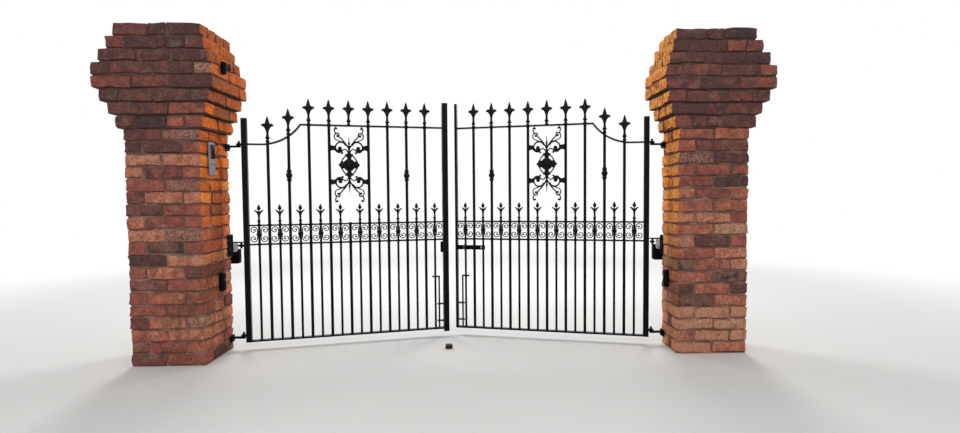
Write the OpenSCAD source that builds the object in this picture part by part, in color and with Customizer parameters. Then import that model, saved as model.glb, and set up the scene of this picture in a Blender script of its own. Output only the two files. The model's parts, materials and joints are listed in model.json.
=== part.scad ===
// Pair of wrought iron driveway gates between two brick piers.
// Millimetres. X to the right, Y from the street into the drive, Z up.
// The origin is on the ground under the middle of the centre stop, halfway
// between the piers. Both leaves stand ajar, swung into the drive.

/* [Gateway] */
// Clear width between the two brick piers
opening_width = 2824; // [2700:2:3000]
// Hinge pin axis to the inner face of its pier
pin_to_pier = 76; // [60:1:100]
// Hinge pins behind the middle of the centre stop
pin_y = 49.5; // [49:0.5:60]
// Opening angle of the left leaf as it stands
left_ajar = 12.4; // [0:0.1:80]
// Opening angle of the right leaf as it stands
right_ajar = 13.7; // [0:0.1:80]
// Gap between the meeting stiles when the leaves are closed
meeting_gap = 7; // [6:0.5:14]
// Ground to the underside of the leaves
ground_gap = 45; // [30:1:80]

/* [Leaves] */
// Height of the heel stiles above the ground
heel_top = 1496; // [1440:2:1560]
// Underside of the top rail on its high run
high_rail = 1458; // [1420:2:1500]
// Underside of the top rail beside the heel stile
low_rail = 1325; // [1280:1:1360]
// Bend radius of the swan neck in the top rail, to its middle line
neck_radius = 300; // [260:5:360]
// Level run of the top rail between the heel stile and the swan neck
neck_start = 77; // [50:1:110]
// Underside of the upper rail of the scroll band
band_high = 801; // [770:1:830]
// Height of the scroll band, from rail to rail
band_tall = 124; // [112:1:136]
// Thickness of the flat rails
rail_thick = 10; // [6:1:14]
// Depth of the flat rails from street side to drive side
rail_depth = 30; // [26:1:40]
// Square of the heel stile
heel_size = 34; // [28:1:40]
// Width of a meeting stile seen from the street
meet_width = 16; // [12:1:20]
// Diameter of the tall bars
tall_bar = 19; // [14:1:21]
// Diameter of the dog bars
dog_bar = 15; // [10:1:16]

/* [Castings] */
// Height of a large spearhead above the rail
spear_height = 166; // [130:1:190]
// Span of the barbs of a large spearhead
spear_span = 77; // [60:1:84]
// Height of a dog bar spearhead above the band
dog_spear_height = 131; // [110:1:145]
// Span of the barbs of a dog bar spearhead
dog_spear_span = 58; // [40:1:64]
// Middle of the bar collars above the ground
collar_height = 1132; // [1000:1:1250]
// Thickness of the scroll castings
casting_thick = 9; // [6:0.5:12]
// Width of the scroll strips
scroll_strip = 7; // [4:0.5:8]

/* [Bolts] */
// Diameter of the drop bolts and of the latch bolt
bolt_rod = 12; // [10:1:14]
// Middle of the bolts behind the middle of the leaf
bolt_back = 27; // [26.5:0.5:32]
// Latch bolt below the scroll band
latch_drop = 58; // [44:1:80]

/* [Piers] */
// Width of each pier across its street face
pier_width = 440; // [400:5:480]
// Depth of the left pier
left_pier_depth = 360; // [330:5:450]
// Depth of the right pier
right_pier_depth = 268; // [240:5:330]
// Drive face of the piers behind the hinge pins
pier_back = 30; // [20:1:40]
// Height of the plain shaft
shaft_height = 1390; // [1350:5:1420]
// Height of one brick course with its joint
course = 75; // [70:1:80]
// Oversail of each corbel course towards the gateway
corbel_in = 24; // [16:1:26]
// Oversail of each corbel course away from the gateway
corbel_out = 38; // [16:1:44]
// Oversail of each corbel course towards the street
corbel_front = 8; // [0:1:30]
// Oversail of each corbel course towards the drive
corbel_rear = 17; // [0:1:28]

/* [Fittings] */
// Top of the operator plates on the piers
operator_top = 748; // [700:2:800]
// Foot of the photocells above the ground
photocell_foot = 392; // [300:2:500]
// Street edge of the intercom panel before the hinge pins
intercom_front = 246; // [150:2:246]
// Top of the intercom panel below the pier head
intercom_drop = 69; // [40:1:200]
// Height of the intercom panel
intercom_tall = 200; // [160:5:260]

/* [Hidden] */
$fn = 32;

iron = [0.05, 0.05, 0.06];
brick = [0.62, 0.3, 0.2];
fit = 0.2;

// gateway
half_open = opening_width / 2;
pin_x = half_open - pin_to_pier;
left_front = pier_back - left_pier_depth;
right_front = pier_back - right_pier_depth;

// along a leaf, u from the pin axis to the meeting stile
heel_out = 16;
heel_in = heel_out + heel_size;
bar_zero = heel_in - 5;
leaf_end = pin_x - meeting_gap / 2;
meet_in = leaf_end - meet_width;
meet_mid = leaf_end - meet_width / 2;
bays = 10;
bar_step = (meet_mid - bar_zero) / (2 * bays);
function bar_u(i) = bar_zero + i * bar_step;
ornament_bar = bays / 2;

// swan neck
neck_u = heel_in + neck_start;
neck_z = low_rail + rail_thick / 2 + neck_radius;
neck_rise = high_rail - low_rail;
neck_run = sqrt(pow(neck_radius, 2) - pow(neck_radius - neck_rise, 2));
neck_turn = acos((neck_radius - neck_rise) / neck_radius);
rail_top = high_rail + rail_thick;
band_top = band_high + rail_thick;
band_low = band_high - band_tall;
boss_height = high_rail - 257;
leaf_foot = ground_gap + rail_thick;

// hinges
eye_r = heel_out;
pin_r = 7;
eye_thick = 14;
top_eye = shaft_height - 69;
low_eye = 83;
arm_thick = 12;
arm_wide = 22;

// bolts
strip_off = 21;
strip_thick = 6;
strip_width = 38;
strip_foot = 30;
rod_u = meet_in - 25;
rod_top = 415;
rod_foot = 48;
guide_low = 94;
guide_high = 214;
guide_thick = 8;
latch_height = band_low - latch_drop;
latch_end = leaf_end - 4;
latch_tail = latch_end - 178;
latch_block = meet_in - 32;
latch_far = latch_end - 202;
latch_gap = 11;
strip_t = 4;

// fixings on the piers and the ground
stop_wide = 45;
stop_deep = 33;
stop_tall = 34;
bracket_plate = 6;
left_plate_tall = 141;
right_plate_tall = 124;
left_cell_y = -150;
right_cell_y = -105;
gear_front = 38;
arm_reach = 53;
arm_z = operator_top - 61;
bracket_lap = 46;
photocell_wide = 40;
photocell_deep = 26;
photocell_tall = 110;
intercom_wide = 66;
lamp_front = 262;
intercom_deep = 14;
seat = 0.3;
scroll_gap = 0.5;
scroll_mid = (band_low + rail_thick + band_high) / 2 + 2.5;

module left_leaf() {
  translate([-pin_x, pin_y, 0]) rotate([0, 0, left_ajar]) children();
}

module right_leaf() {
  translate([pin_x, pin_y, 0]) rotate([0, 0, -right_ajar]) mirror([1, 0, 0]) children();
}

module slab(x0, x1, y0, y1, z0, z1) {
  translate([x0, y0, z0]) cube([x1 - x0, y1 - y0, z1 - z0]);
}

module rod(r, z0, z1) {
  translate([0, 0, z0]) cylinder(r = r, h = z1 - z0);
}

// ring sector in the plane of the leaf, w wide and t deep
module bend(r, w, t, a0, a1) {
  rotate([90, 0, 0]) rotate([0, 0, a0]) rotate_extrude(angle = a1 - a0, $fn = 64)
    translate([r - w / 2, -t / 2]) square([w, t]);
}

module heel_stile() {
  color(iron) slab(heel_out, heel_in, -heel_size / 2, heel_size / 2, ground_gap, heel_top);
}

module meeting_stile(front) {
  color(iron) slab(meet_in, leaf_end, -front, rail_depth / 2, ground_gap, rail_top + spear_height);
}

module rail(z0, u0 = heel_in, u1 = meet_in) {
  slab(u0, u1, -rail_depth / 2, rail_depth / 2, z0, z0 + rail_thick);
}

module swan_neck(t) {
  translate([neck_u, 0, neck_z]) bend(neck_radius, rail_thick, t, 270, 270 + neck_turn);
}

module top_rail() {
  color(iron) union() {
    rail(low_rail, heel_in, neck_u);
    swan_neck(rail_depth);
    rail(high_rail, neck_u + neck_run - 1, meet_in);
  }
}

module band_rails() {
  color(iron) for (z = [band_low, band_high]) difference() {
    rail(z);
    for (i = [1 : 2 * bays - 1])
      if (!(i == bays && z == band_high)) translate([bar_u(i), 0, 0])
        rod((i % 2 == 0 ? tall_bar : dog_bar) / 2 + fit, z - 1, z + rail_thick + 1);
  }
}

module bottom_rail() {
  color(iron) rail(ground_gap);
}

module tall_bars() {
  color(iron) for (n = [1 : bays - 1]) translate([bar_u(2 * n), 0, 0]) {
    if (n == ornament_bar) rod(tall_bar / 2, leaf_foot, band_high);
    else if (bar_u(2 * n) > neck_u + neck_run) rotate_extrude() polygon([[0, leaf_foot],
      [tall_bar / 2, leaf_foot], [tall_bar / 2, high_rail - 8], [tall_bar / 2 + 3, high_rail], [0, high_rail]]);
    else difference() {
      rod(tall_bar / 2, leaf_foot, high_rail);
      translate([neck_u - bar_u(2 * n), 0, neck_z]) rotate([90, 0, 0])
        cylinder(r = neck_radius + rail_thick / 2, h = 2 * tall_bar, center = true, $fn = 96);
    }
  }
}

module dog_bars() {
  color(iron) for (i = [1 : 2 : 2 * bays - 1]) translate([bar_u(i), 0, 0])
    rod(dog_bar / 2, leaf_foot, band_top);
}

function bez(a, b, c, n) = [for (k = [0 : n]) let (f = k / n)
  pow(1 - f, 2) * a + 2 * f * (1 - f) * b + pow(f, 2) * c];
function flip(side) = [for (k = [len(side) - 1 : -1 : 0]) if (side[k][0] > 0.01) [-side[k][0], side[k][1]]];

// a flat casting with a ridge down its middle, from half its outline
module ridged(side, h, half, deep, z0, tip) {
  intersection() {
    rotate([90, 0, 0]) linear_extrude(3 * deep, center = true) polygon(concat(side, flip(side)));
    translate([0, 0, z0]) linear_extrude(h) polygon([[-half * 1.6, 0], [0, -deep], [half * 1.6, 0], [0, deep]]);
    rotate([90, 0, 90]) linear_extrude(3 * half, center = true)
      polygon([[-deep, z0], [deep, z0], [deep, h * 0.7], [tip, h], [-tip, h], [-deep, h * 0.7]]);
  }
}

// large head: barbs reach out level and droop at their tips
module spear_blade(h, half, stem) {
  side = concat([[stem, h * 0.34]],
    bez([stem, h * 0.38], [stem * 1.3, h * 0.49], [half * 0.54, h * 0.572], 3),
    [[half * 0.73, h * 0.608], [half * 0.89, h * 0.616], [half, h * 0.642]],
    bez([half * 0.98, h * 0.67], [half * 0.8, h * 0.722], [half * 0.39, h * 0.72], 3),
    bez([half * 0.365, h * 0.745], [half * 0.26, h * 0.85], [half * 0.11, h * 0.965], 3), [[half * 0.04, h]]);
  ridged(side, h, half, stem * 1.05, h * 0.34, 2);
}

// dog bar head: a bud between two curved barbs
module dog_blade(h, half, stem) {
  side = concat([[stem, h * 0.3]],
    bez([stem, h * 0.4], [stem * 1.15, h * 0.54], [half * 0.57, h * 0.59], 3),
    [[half * 0.76, h * 0.652], [half * 0.96, h * 0.676], [half, h * 0.704], [half * 0.95, h * 0.727],
     [half * 0.58, h * 0.708], [half * 0.3, h * 0.668], [half * 0.12, h * 0.64], [half * 0.12, h * 0.706],
     [half * 0.24, h * 0.722], [half * 0.37, h * 0.752], [half * 0.41, h * 0.795], [half * 0.33, h * 0.856],
     [half * 0.2, h * 0.925], [half * 0.05, h]]);
  ridged(side, h, half, stem * 1.05, h * 0.3, 1.5);
}

// foot, waist and ball of a head
module spear_base(h, r, stem, top) {
  rotate_extrude() polygon([[0, 0], [r * 0.92, 0], [r * 0.86, h * 0.028], [stem * 1.04, h * 0.07], [stem, h * 0.1],
    [r * 0.78, h * 0.122], [r, h * 0.15], [r, h * 0.166], [r * 0.84, h * 0.19], [r * 0.66, h * 0.225],
    [stem, h * 0.27], [stem, top - h * 0.06], [stem * 0.6, top], [0, top]]);
}

module spearhead(h, span) {
  stem = tall_bar * 0.43;
  spear_base(h, stem * 1.75, stem, h * 0.48);
  spear_blade(h, span / 2, stem);
}

module dog_spearhead(h, span) {
  stem = dog_bar * 0.43;
  spear_base(h, stem * 1.7, stem, h * 0.44);
  dog_blade(h, span / 2, stem);
}

function rail_at(u) = u > neck_u + neck_run ? rail_top
  : neck_z - sqrt(pow(neck_radius - rail_thick / 2, 2) - pow(u - neck_u, 2));

module spearheads() {
  color(iron) for (n = [1 : bays - 1]) {
    u = bar_u(2 * n);
    if (u > neck_u + neck_run) translate([u, 0, rail_top]) spearhead(spear_height, spear_span);
    else {
      seat = rail_at(u);
      translate([u, 0, seat]) difference() {
        union() {
          translate([0, 0, 8]) spearhead(spear_height, spear_span);
          rod(tall_bar / 2, -30, 9);
        }
        translate([neck_u - u, 0, neck_z - seat]) rotate([90, 0, 0]) difference() {
          cylinder(r = neck_radius + 60, h = 60, center = true, $fn = 96);
          cylinder(r = neck_radius - rail_thick / 2, h = 61, center = true, $fn = 96);
        }
      }
    }
  }
}

module dog_spearheads() {
  color(iron) for (i = [1 : 2 : 2 * bays - 1]) translate([bar_u(i), 0, band_top])
    dog_spearhead(dog_spear_height, dog_spear_span);
}

// volute of three half turns and a ball; it starts at the left, going over
// the top where up is 1 and under the bottom where it is -1
module volute(r, w, t, up) {
  mid = floor(r * 14.4) / 20;
  in = floor(r * 5) / 20;
  mirror([0, 0, up > 0 ? 0 : 1]) {
    bend(r, w, t, 0, 180);
    translate([r - mid, 0, 0]) bend(mid, w, t, 180, 360);
    translate([r - 2 * mid + in, 0, 0]) bend(in, w, t, 0, 180);
    disc([r - 2 * mid + 2 * in, 0], w * 0.75, t + 2);
  }
}

// C scroll that runs up beside a dog bar and curls in at both ends
module c_scroll() {
  w = scroll_strip;
  spine = dog_bar / 2 + scroll_gap;
  r = floor((bar_step - tall_bar / 2 - spine - scroll_gap - w) * 10) / 20;
  mid = scroll_mid;
  half = floor((band_tall - rail_thick) * 5) / 20;
  slab(spine, spine + w, -casting_thick / 2, casting_thick / 2, mid - half, mid + half);
  translate([spine + w / 2 + r, 0, mid + half]) volute(r, w, casting_thick, 1);
  translate([spine + w / 2 + r, 0, mid - half]) volute(r, w, casting_thick, -1);
}

// ten castings, each a pair of C scrolls joined by a ring round its dog bar
module band_scrolls() {
  mid = scroll_mid;
  out = dog_bar / 2 + scroll_gap + scroll_strip;
  color(iron) for (i = [1 : 2 : 2 * bays - 1]) translate([bar_u(i), 0, 0]) difference() {
    union() {
      c_scroll();
      mirror([1, 0, 0]) c_scroll();
      translate([0, 0, mid]) rotate_extrude() polygon([[0, -12], [out - 3, -12], [out - 2, -8], [out + 1, -5],
        [out + 3, -1], [out + 3, 3], [out + 1, 6], [out - 2, 8], [0, 8]]);
    }
    rod(dog_bar / 2 + fit, band_low, band_high + rail_thick);
  }
}

module disc(p, r, t) {
  translate([p[0], t / 2, p[1]]) rotate([90, 0, 0]) cylinder(r = r, h = t);
}

module plate(points, t) {
  rotate([90, 0, 0]) linear_extrude(t, center = true) polygon(points);
}

module ring(p, r, w, t) {
  translate([p[0], 0, p[1]]) rotate([90, 0, 0]) rotate_extrude() translate([r - w / 2, -t / 2]) square([w, t]);
}

// strip along a run of points, its width given at the start, middle and end
module strand(p, w, t) {
  last = len(p) - 1;
  n = [for (k = [0 : last]) let (d = p[min(k + 1, last)] - p[max(k - 1, 0)]) [-d[1], d[0]] / norm(d)];
  half = [for (k = [0 : last]) lookup(k / last, [[0, w[0]], [0.5, w[1]], [1, w[2]]]) / 2];
  plate(concat([for (k = [0 : last]) p[k] + n[k] * half[k]], [for (k = [last : -1 : 0]) p[k] - n[k] * half[k]]), t);
}

// upper right quarter of the ornament, measured from its boss
module ornament_quarter(reach) {
  t = casting_thick;
  // stem with a ball at its end, and the curl round the ball
  strand(bez([3, 112], [28, 157], [67, 193], 6), [11, 10, 9], t);
  disc([73.5, 193.5], 9, t + 4);
  translate([74, 0, 201]) bend(11, 9.5, t + 1, 25, 210);
  // hook under the rail
  strand(concat(bez([83, 207], [93.5, 222], [93, 237], 4), bez([91.5, 244], [88, 248.5], [81, 246], 3)), [8, 9, 8], t - 1);
  disc([80.5, 242.5], 7.5, t + 3);
  // loop back to the arch
  strand(concat(bez([84, 210], [95.5, 201], [95, 189], 3), bez([93, 175], [79, 163], [34, 150], 5)), [9, 7, 9.5], t - 2);
  // arch that carries the lug
  translate([53, 0, 117]) bend(35, 10, t + 0.5, -20, 135);
  plate([[14, 126], [26, 128.5], [32.5, 137.5], [27, 146], [20, 141]], t + 1.5);
  // lobed leaf with its curl and bud
  plate([[98, 98], [92, 94.5], [86, 89], [80, 83.5], [74, 80], [67, 78.5], [60, 79.5], [50, 82], [46, 88],
    [43, 95], [45, 103], [50, 109], [68, 108], [75, 103], [78.5, 102.5], [82, 110], [90, 116], [98, 112]], t + 2);
  ring([59.5, 110], 9, 9, t + 3.5);
  disc([59.5, 110], 6, t - 4);
  disc([45, 80], 8, t + 5);
  // tendril from the trunk to the leaf
  strand(concat(bez([4, 80], [15, 107], [30, 105], 4), [[38, 101.5], [47, 92]]), [9, 8, 9], t - 0.5);
  // lug round the neighbouring bar
  slab(88, reach, -t / 2, t / 2, 98.5, 128.5);
  plate([[104, 98.5], [112, 96], [reach, 92], [reach, 135], [112, 131], [104, 128.5]], t + 1);
  for (z = [101, 111, 121]) slab(92, reach - 8, -t / 2 - 2, t / 2 + 2, z, z + 5);
  // lyre strand down to the side leaf
  strand(bez([22, 61], [42, 45], [51, 16], 5), [9, 9, 9], t - 1.5);
}

module ornament() {
  t = casting_thick;
  reach = 2 * bar_step - 4;
  rail_low = high_rail - boss_height;
  spike = [[8, 70], [6.5, 90], [6.5, 104], [9.5, 116], [5.5, 126], [4.2, 132], [7.8, 143], [4, 153], [2.8, 168], [1, 190]];
  crown = [[14, 34], [14, 50], [20, 57], [26, 62], [28, 68], [25.5, 72.5], [18, 73], [13, 77], [9.5, 84], [8, 91]];
  color(iron) translate([bar_u(bays), 0, boss_height]) difference() {
    union() {
      for (m = [0, 1], n = [0, 1]) mirror([m, 0, 0]) mirror([0, 0, n]) ornament_quarter(reach);
      for (n = [0, 1]) mirror([0, 0, n]) {
        plate(concat(spike, flip(spike)), t + 2.5);
        plate(concat(crown, flip(crown)), t + 4.5);
      }
      for (m = [0, 1]) mirror([m, 0, 0])
        plate([[36, -22], [36, 22], [47, 29], [55, 24], [60, 14], [66, 6], [73, 0], [66, -6], [60, -14], [55, -24],
          [47, -29]], t + 3);
      rotate([90, 0, 0]) cylinder(r = 41, h = t + 2, center = true, $fn = 64);
      for (k = [0 : 7]) rotate([0, 45 * k + 22.5, 0]) translate([0, 0, 29]) disc([0, 0], 8.5, t + 7);
      for (m = [0, 1]) mirror([0, m, 0]) rotate([90, 0, 0]) rotate_extrude() polygon([[0, 0], [25, 0], [25, t / 2 + 1],
        [23, t / 2 + 4], [17, t / 2 + 8], [9, t / 2 + 10.5], [0, t / 2 + 11]]);
      for (x = [-84, 84]) translate([x, 0, 0]) rod(3.5, 246, rail_low);
    }
    for (x = [-2, 2] * bar_step) translate([x, 0, 0]) rod(tall_bar / 2 + fit, -140, 140);
  }
}

// a ball between two rings, made in one with its bore
module bar_collars() {
  side = [[9.8, -45], [11, -41], [16.5, -31], [17, -28], [13.5, -24.5], [12.6, -22], [14.5, -18], [19.5, -8], [21, -2],
    [20.2, 3], [17.5, 10], [14.5, 16], [13.5, 19], [14.5, 21], [17, 23], [17, 26], [15.5, 30], [12, 37], [10.5, 43]];
  color(iron) for (n = [2, bays - 2]) translate([bar_u(2 * n), 0, collar_height]) difference() {
    rotate_extrude() polygon(concat([[0, -45]], side, [[0, 43]]));
    rod(tall_bar / 2 + fit, -50, 50);
  }
}

module hinge_eyes() {
  color(iron) for (z = [low_eye, top_eye]) difference() {
    union() {
      rod(eye_r, z, z + eye_thick);
      slab(0, heel_out, -10, 10, z, z + eye_thick);
    }
    rod(pin_r + 0.05, z - 1, z + eye_thick + 1);
  }
}

module hinge_brackets() {
  color(iron) for (z = [low_eye, top_eye]) {
    union() {
      slab(-pin_to_pier, -pin_to_pier + 6, -30, 26, z - arm_thick - 22, z + 10);
      slab(-pin_to_pier + 5, 0, -arm_wide / 2, arm_wide / 2, z - arm_thick, z - seat);
      rod(arm_wide / 2, z - arm_thick, z - seat);
      rod(pin_r, z - arm_thick, z + eye_thick + 15);
    }
  }
}

// strip on the street face of the left meeting stile, lapping the gap
module closing_strip() {
  mid = leaf_end + 2.5;
  color(iron) slab(mid - strip_width / 2, mid + strip_width / 2, -strip_off - strip_thick, -strip_off,
    strip_foot, rail_top + spear_height);
}

module bolt_guides() {
  color(iron) for (z = [guide_low, guide_high]) difference() {
    slab(rod_u - 13, leaf_end - 1, rail_depth / 2, bolt_back + 10, z, z + guide_thick);
    translate([rod_u, bolt_back, 0]) rod(bolt_rod / 2 + 0.05, z - 1, z + guide_thick + 1);
  }
}

module drop_bolt() {
  color(iron) translate([rod_u, bolt_back, 0]) {
    rod(bolt_rod / 2, rod_foot, rod_top);
    translate([-50, 0, rod_top]) rotate([0, 90, 0]) cylinder(r = bolt_rod / 2, h = 50);
    translate([0, 0, rod_top]) sphere(r = bolt_rod / 2);
  }
}

module latch_case() {
  back = rail_depth / 2;
  wall = latch_gap + strip_t;
  color(iron) difference() {
    union() {
      slab(latch_block, leaf_end - 1, back, bolt_back + 12, latch_height - wall, latch_height + wall);
      for (z = [-wall, latch_gap])
        slab(latch_far, latch_block + 1, bolt_back - 7, bolt_back + 7, latch_height + z, latch_height + z + strip_t);
      slab(latch_far, latch_far + strip_t, bolt_back - 7, bolt_back + 7, latch_height - wall, latch_height + wall);
      slab(latch_far + 78, latch_far + 90, bolt_back - 10, bolt_back + 10, latch_height - wall, latch_height + wall);
    }
    translate([latch_far + 20, bolt_back, latch_height]) rotate([0, 90, 0])
      cylinder(r = bolt_rod / 2 + 0.05, h = leaf_end);
  }
}

// receives the latch bolt of the other leaf
module latch_keep() {
  back = rail_depth / 2;
  color(iron) difference() {
    union() {
      slab(leaf_end - 30, leaf_end - 1, back, back + 5, latch_height - 30, latch_height + 45);
      slab(leaf_end - 24, leaf_end - 1, back + 4, bolt_back + 12, latch_height - 18, latch_height + 18);
    }
    translate([leaf_end - 40, bolt_back, latch_height]) rotate([0, 90, 0])
      cylinder(r = bolt_rod / 2 + 2, h = 60);
  }
}

module latch_bolt() {
  color(iron) translate([latch_tail, bolt_back, latch_height]) rotate([0, 90, 0])
    cylinder(r = bolt_rod / 2, h = latch_end - latch_tail);
}

module latch_knob() {
  color([0.85, 0.85, 0.83]) translate([latch_tail, bolt_back, latch_height]) rotate([0, -90, 0])
    rotate_extrude() polygon(concat([[0, 0]], [for (a = [-50 : 20 : 90])
      bolt_rod / 2 * [cos(a), sin(a) + sin(50)]]));
}

module shaft(front) {
  color(brick) slab(0, pier_width, front, pier_back, 0, shaft_height);
}

// course that oversails the shaft by k steps on every side
module ring_course(front, k, z0, z1) {
  slab(-k * corbel_in, pier_width + k * corbel_out, front - k * corbel_front, pier_back + k * corbel_rear, z0, z1);
}

module head(front) {
  color(brick) union() {
    for (k = [1 : 4]) ring_course(front, k, shaft_height + (k - 1) * course,
      shaft_height + (k == 4 ? 5 : k) * course);
    for (k = [0 : 2]) ring_course(front, 3 - k, shaft_height + (5 + k) * course,
      shaft_height + (6 + k) * course);
  }
}

module left_side() {
  translate([-half_open, pin_y, 0]) mirror([1, 0, 0]) children();
}

module right_side() {
  translate([half_open, pin_y, 0]) children();
}

// x runs from the inner face of the pier into the brickwork; the bracket
// laps the corner, and carries the two bars of the operator's arm
module operator_bracket(y0, top, tall, side) {
  color(iron) union() {
    slab(-bracket_plate, 0, y0, gear_front, top - tall, top);
    slab(-bracket_plate, bracket_lap, pier_back, gear_front, top - tall, top);
  }
  mid = gear_front + 46;
  color(iron) union() {
    slab(-arm_reach, 30, mid - 20, mid + 20, arm_z, arm_z + 7);
    slab(-arm_reach, side, mid - 9, mid + 9, arm_z - 25, arm_z - 11);
    translate([-arm_reach + 15, mid, 0]) rod(7, arm_z - 37, arm_z + 1);
  }
}

// cast housing with a round foot in front of the motor; lap is how far the
// foot hangs below the rest
module operator_gearbox(x0, x1, tall, lap) {
  r = (x1 - x0) / 2;
  foot = arm_z - tall;
  color([0.62, 0.63, 0.63]) union() {
    slab(x0, x1, gear_front, gear_front + 33, foot + r, arm_z);
    translate([x0 + r, gear_front + 33, foot + r]) rotate([90, 0, 0]) cylinder(r = r, h = 33);
    slab(x0, x1, gear_front + 32, gear_front + 80, foot + lap, arm_z);
  }
}

// cover of the motor, with a shoulder that rises beside the housing
module operator_motor(x0, x1, z0, z1, gear_side) {
  r = 12;
  color([0.04, 0.04, 0.05]) translate([0, gear_front + 86, 0]) rotate([90, 0, 0])
    linear_extrude(52) union() {
      translate([x0, z0 + r]) square([x1 - x0, z1 - z0 - r]);
      translate([x0 + r, z0]) square([x1 - x0 - 2 * r, r + 1]);
      for (x = [x0 + r, x1 - r]) translate([x, z0 + r]) circle(r = r);
      translate([x0, z1 - 1]) square([gear_side - seat - x0, arm_z - 11 - z1 + 1]);
    }
}

module photocell(y0, z0) {
  r = photocell_wide / 2;
  translate([0, y0, z0]) rotate([90, 0, 90]) mirror([0, 0, 1]) linear_extrude(photocell_deep) union() {
    translate([0, 0]) square([photocell_wide, photocell_tall - r]);
    translate([r, photocell_tall - r]) circle(r = r);
  }
}

module intercom_panel() {
  r = 20;
  w = intercom_wide;
  h = intercom_tall;
  d = intercom_deep;
  color([0.5, 0.52, 0.53]) translate([0, -intercom_front, shaft_height - intercom_drop - h]) rotate([90, 0, 90])
    mirror([0, 0, 1]) difference() {
      linear_extrude(d) union() {
        square([w, h - r]);
        translate([r, h - r - 1]) square([w - 2 * r, r + 1]);
        for (x = [r, w - r]) translate([x, h - r]) circle(r = r);
      }
      translate([w * 0.16, h * 0.5, d - 3]) cube([w * 0.68, h * 0.42, 4]);
      for (k = [0 : 2]) translate([w * 0.2, h * 0.4 - 6 * k, d - 2]) cube([w * 0.6, 2, 3]);
    }
}

// smoked window and lens let into the panel
module intercom_lens() {
  w = intercom_wide;
  h = intercom_tall;
  d = intercom_deep;
  color([0.02, 0.02, 0.025]) translate([0, -intercom_front, shaft_height - intercom_drop - h]) rotate([90, 0, 90])
    mirror([0, 0, 1]) {
      translate([w * 0.16 + fit, h * 0.5 + fit, d - 3]) cube([w * 0.68 - 2 * fit, h * 0.42 - 2 * fit, 2]);
      translate([w / 2, h * 0.74, d - 1.5]) cylinder(r = 11, h = 3);
    }
}

// tapering lamp with its sensor beside it
module pier_lamp() {
  color([0.05, 0.05, 0.05]) translate([-4 * corbel_in, -lamp_front, shaft_height + 5 * course]) union() {
    rotate([90, 0, 0]) mirror([0, 0, 1]) linear_extrude(38)
      polygon([[0, -46], [-13, -49], [-17, -44], [-26, 16], [-23, 22], [0, 22]]);
    slab(-7, 0, 37, 78, -30, -12);
    slab(-15, 0, 77, 130, -12, 35);
  }
}

module ground_stop() {
  color([0.08, 0.08, 0.08]) slab(-stop_wide / 2, stop_wide / 2, -stop_deep / 2, stop_deep / 2, 0, stop_tall);
}

left_side() shaft(left_front);  // left_pier_shaft
left_side() head(left_front);  // left_pier_head
right_side() shaft(right_front);  // right_pier_shaft
right_side() head(right_front);  // right_pier_head
translate([0, pin_y, 0]) {
  translate([-pin_x, 0, 0]) hinge_brackets();
  translate([pin_x, 0, 0]) mirror([1, 0, 0]) hinge_brackets();
}
union() {  // operator_brackets
  left_side() operator_bracket(-26, operator_top, left_plate_tall, -20);
  right_side() operator_bracket(-2, operator_top - 29, right_plate_tall, -27);
}
union() {  // operator_gearboxes
  left_side() operator_gearbox(-4, 41, 67, 14);
  right_side() operator_gearbox(-8, 30, 68, 28);
}
union() {  // operator_motors
  left_side() operator_motor(-20, 51, arm_z - 138, arm_z - 53, -4);
  right_side() operator_motor(-27, 40, arm_z - 142, arm_z - 40, -8);
}
color([0.05, 0.05, 0.05]) {  // photocells
  left_side() photocell(left_cell_y, photocell_foot + 17);
  right_side() photocell(right_cell_y, photocell_foot);
}
left_side() intercom_panel();
left_side() intercom_lens();
left_side() pier_lamp();
ground_stop();
left_leaf() heel_stile();  // left_heel_stile
left_leaf() meeting_stile(strip_off);  // left_meeting_stile
left_leaf() closing_strip();
left_leaf() top_rail();  // left_top_rail
left_leaf() band_rails();  // left_band_rails
left_leaf() bottom_rail();  // left_bottom_rail
left_leaf() tall_bars();  // left_tall_bars
left_leaf() dog_bars();  // left_dog_bars
left_leaf() {  // left_spearheads
  spearheads();
  dog_spearheads();
}
left_leaf() band_scrolls();  // left_band_scrolls
left_leaf() ornament();  // left_ornament
left_leaf() bar_collars();  // left_bar_collars
left_leaf() hinge_eyes();  // left_hinge_eyes
left_leaf() bolt_guides();  // left_bolt_guides
left_leaf() latch_keep();
left_leaf() drop_bolt();  // left_drop_bolt
right_leaf() heel_stile();  // right_heel_stile
right_leaf() meeting_stile(rail_depth / 2);  // right_meeting_stile
right_leaf() top_rail();  // right_top_rail
right_leaf() band_rails();  // right_band_rails
right_leaf() bottom_rail();  // right_bottom_rail
right_leaf() tall_bars();  // right_tall_bars
right_leaf() dog_bars();  // right_dog_bars
right_leaf() {  // right_spearheads
  spearheads();
  dog_spearheads();
}
right_leaf() band_scrolls();  // right_band_scrolls
right_leaf() ornament();  // right_ornament
right_leaf() bar_collars();  // right_bar_collars
right_leaf() hinge_eyes();  // right_hinge_eyes
right_leaf() bolt_guides();  // right_bolt_guides
right_leaf() latch_case();
right_leaf() drop_bolt();  // right_drop_bolt
right_leaf() latch_bolt();
right_leaf() latch_knob();
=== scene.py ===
import json
import math
import random

import bpy
from mathutils import Matrix, Vector, noise
from mathutils.geometry import delaunay_2d_cdt


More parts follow.
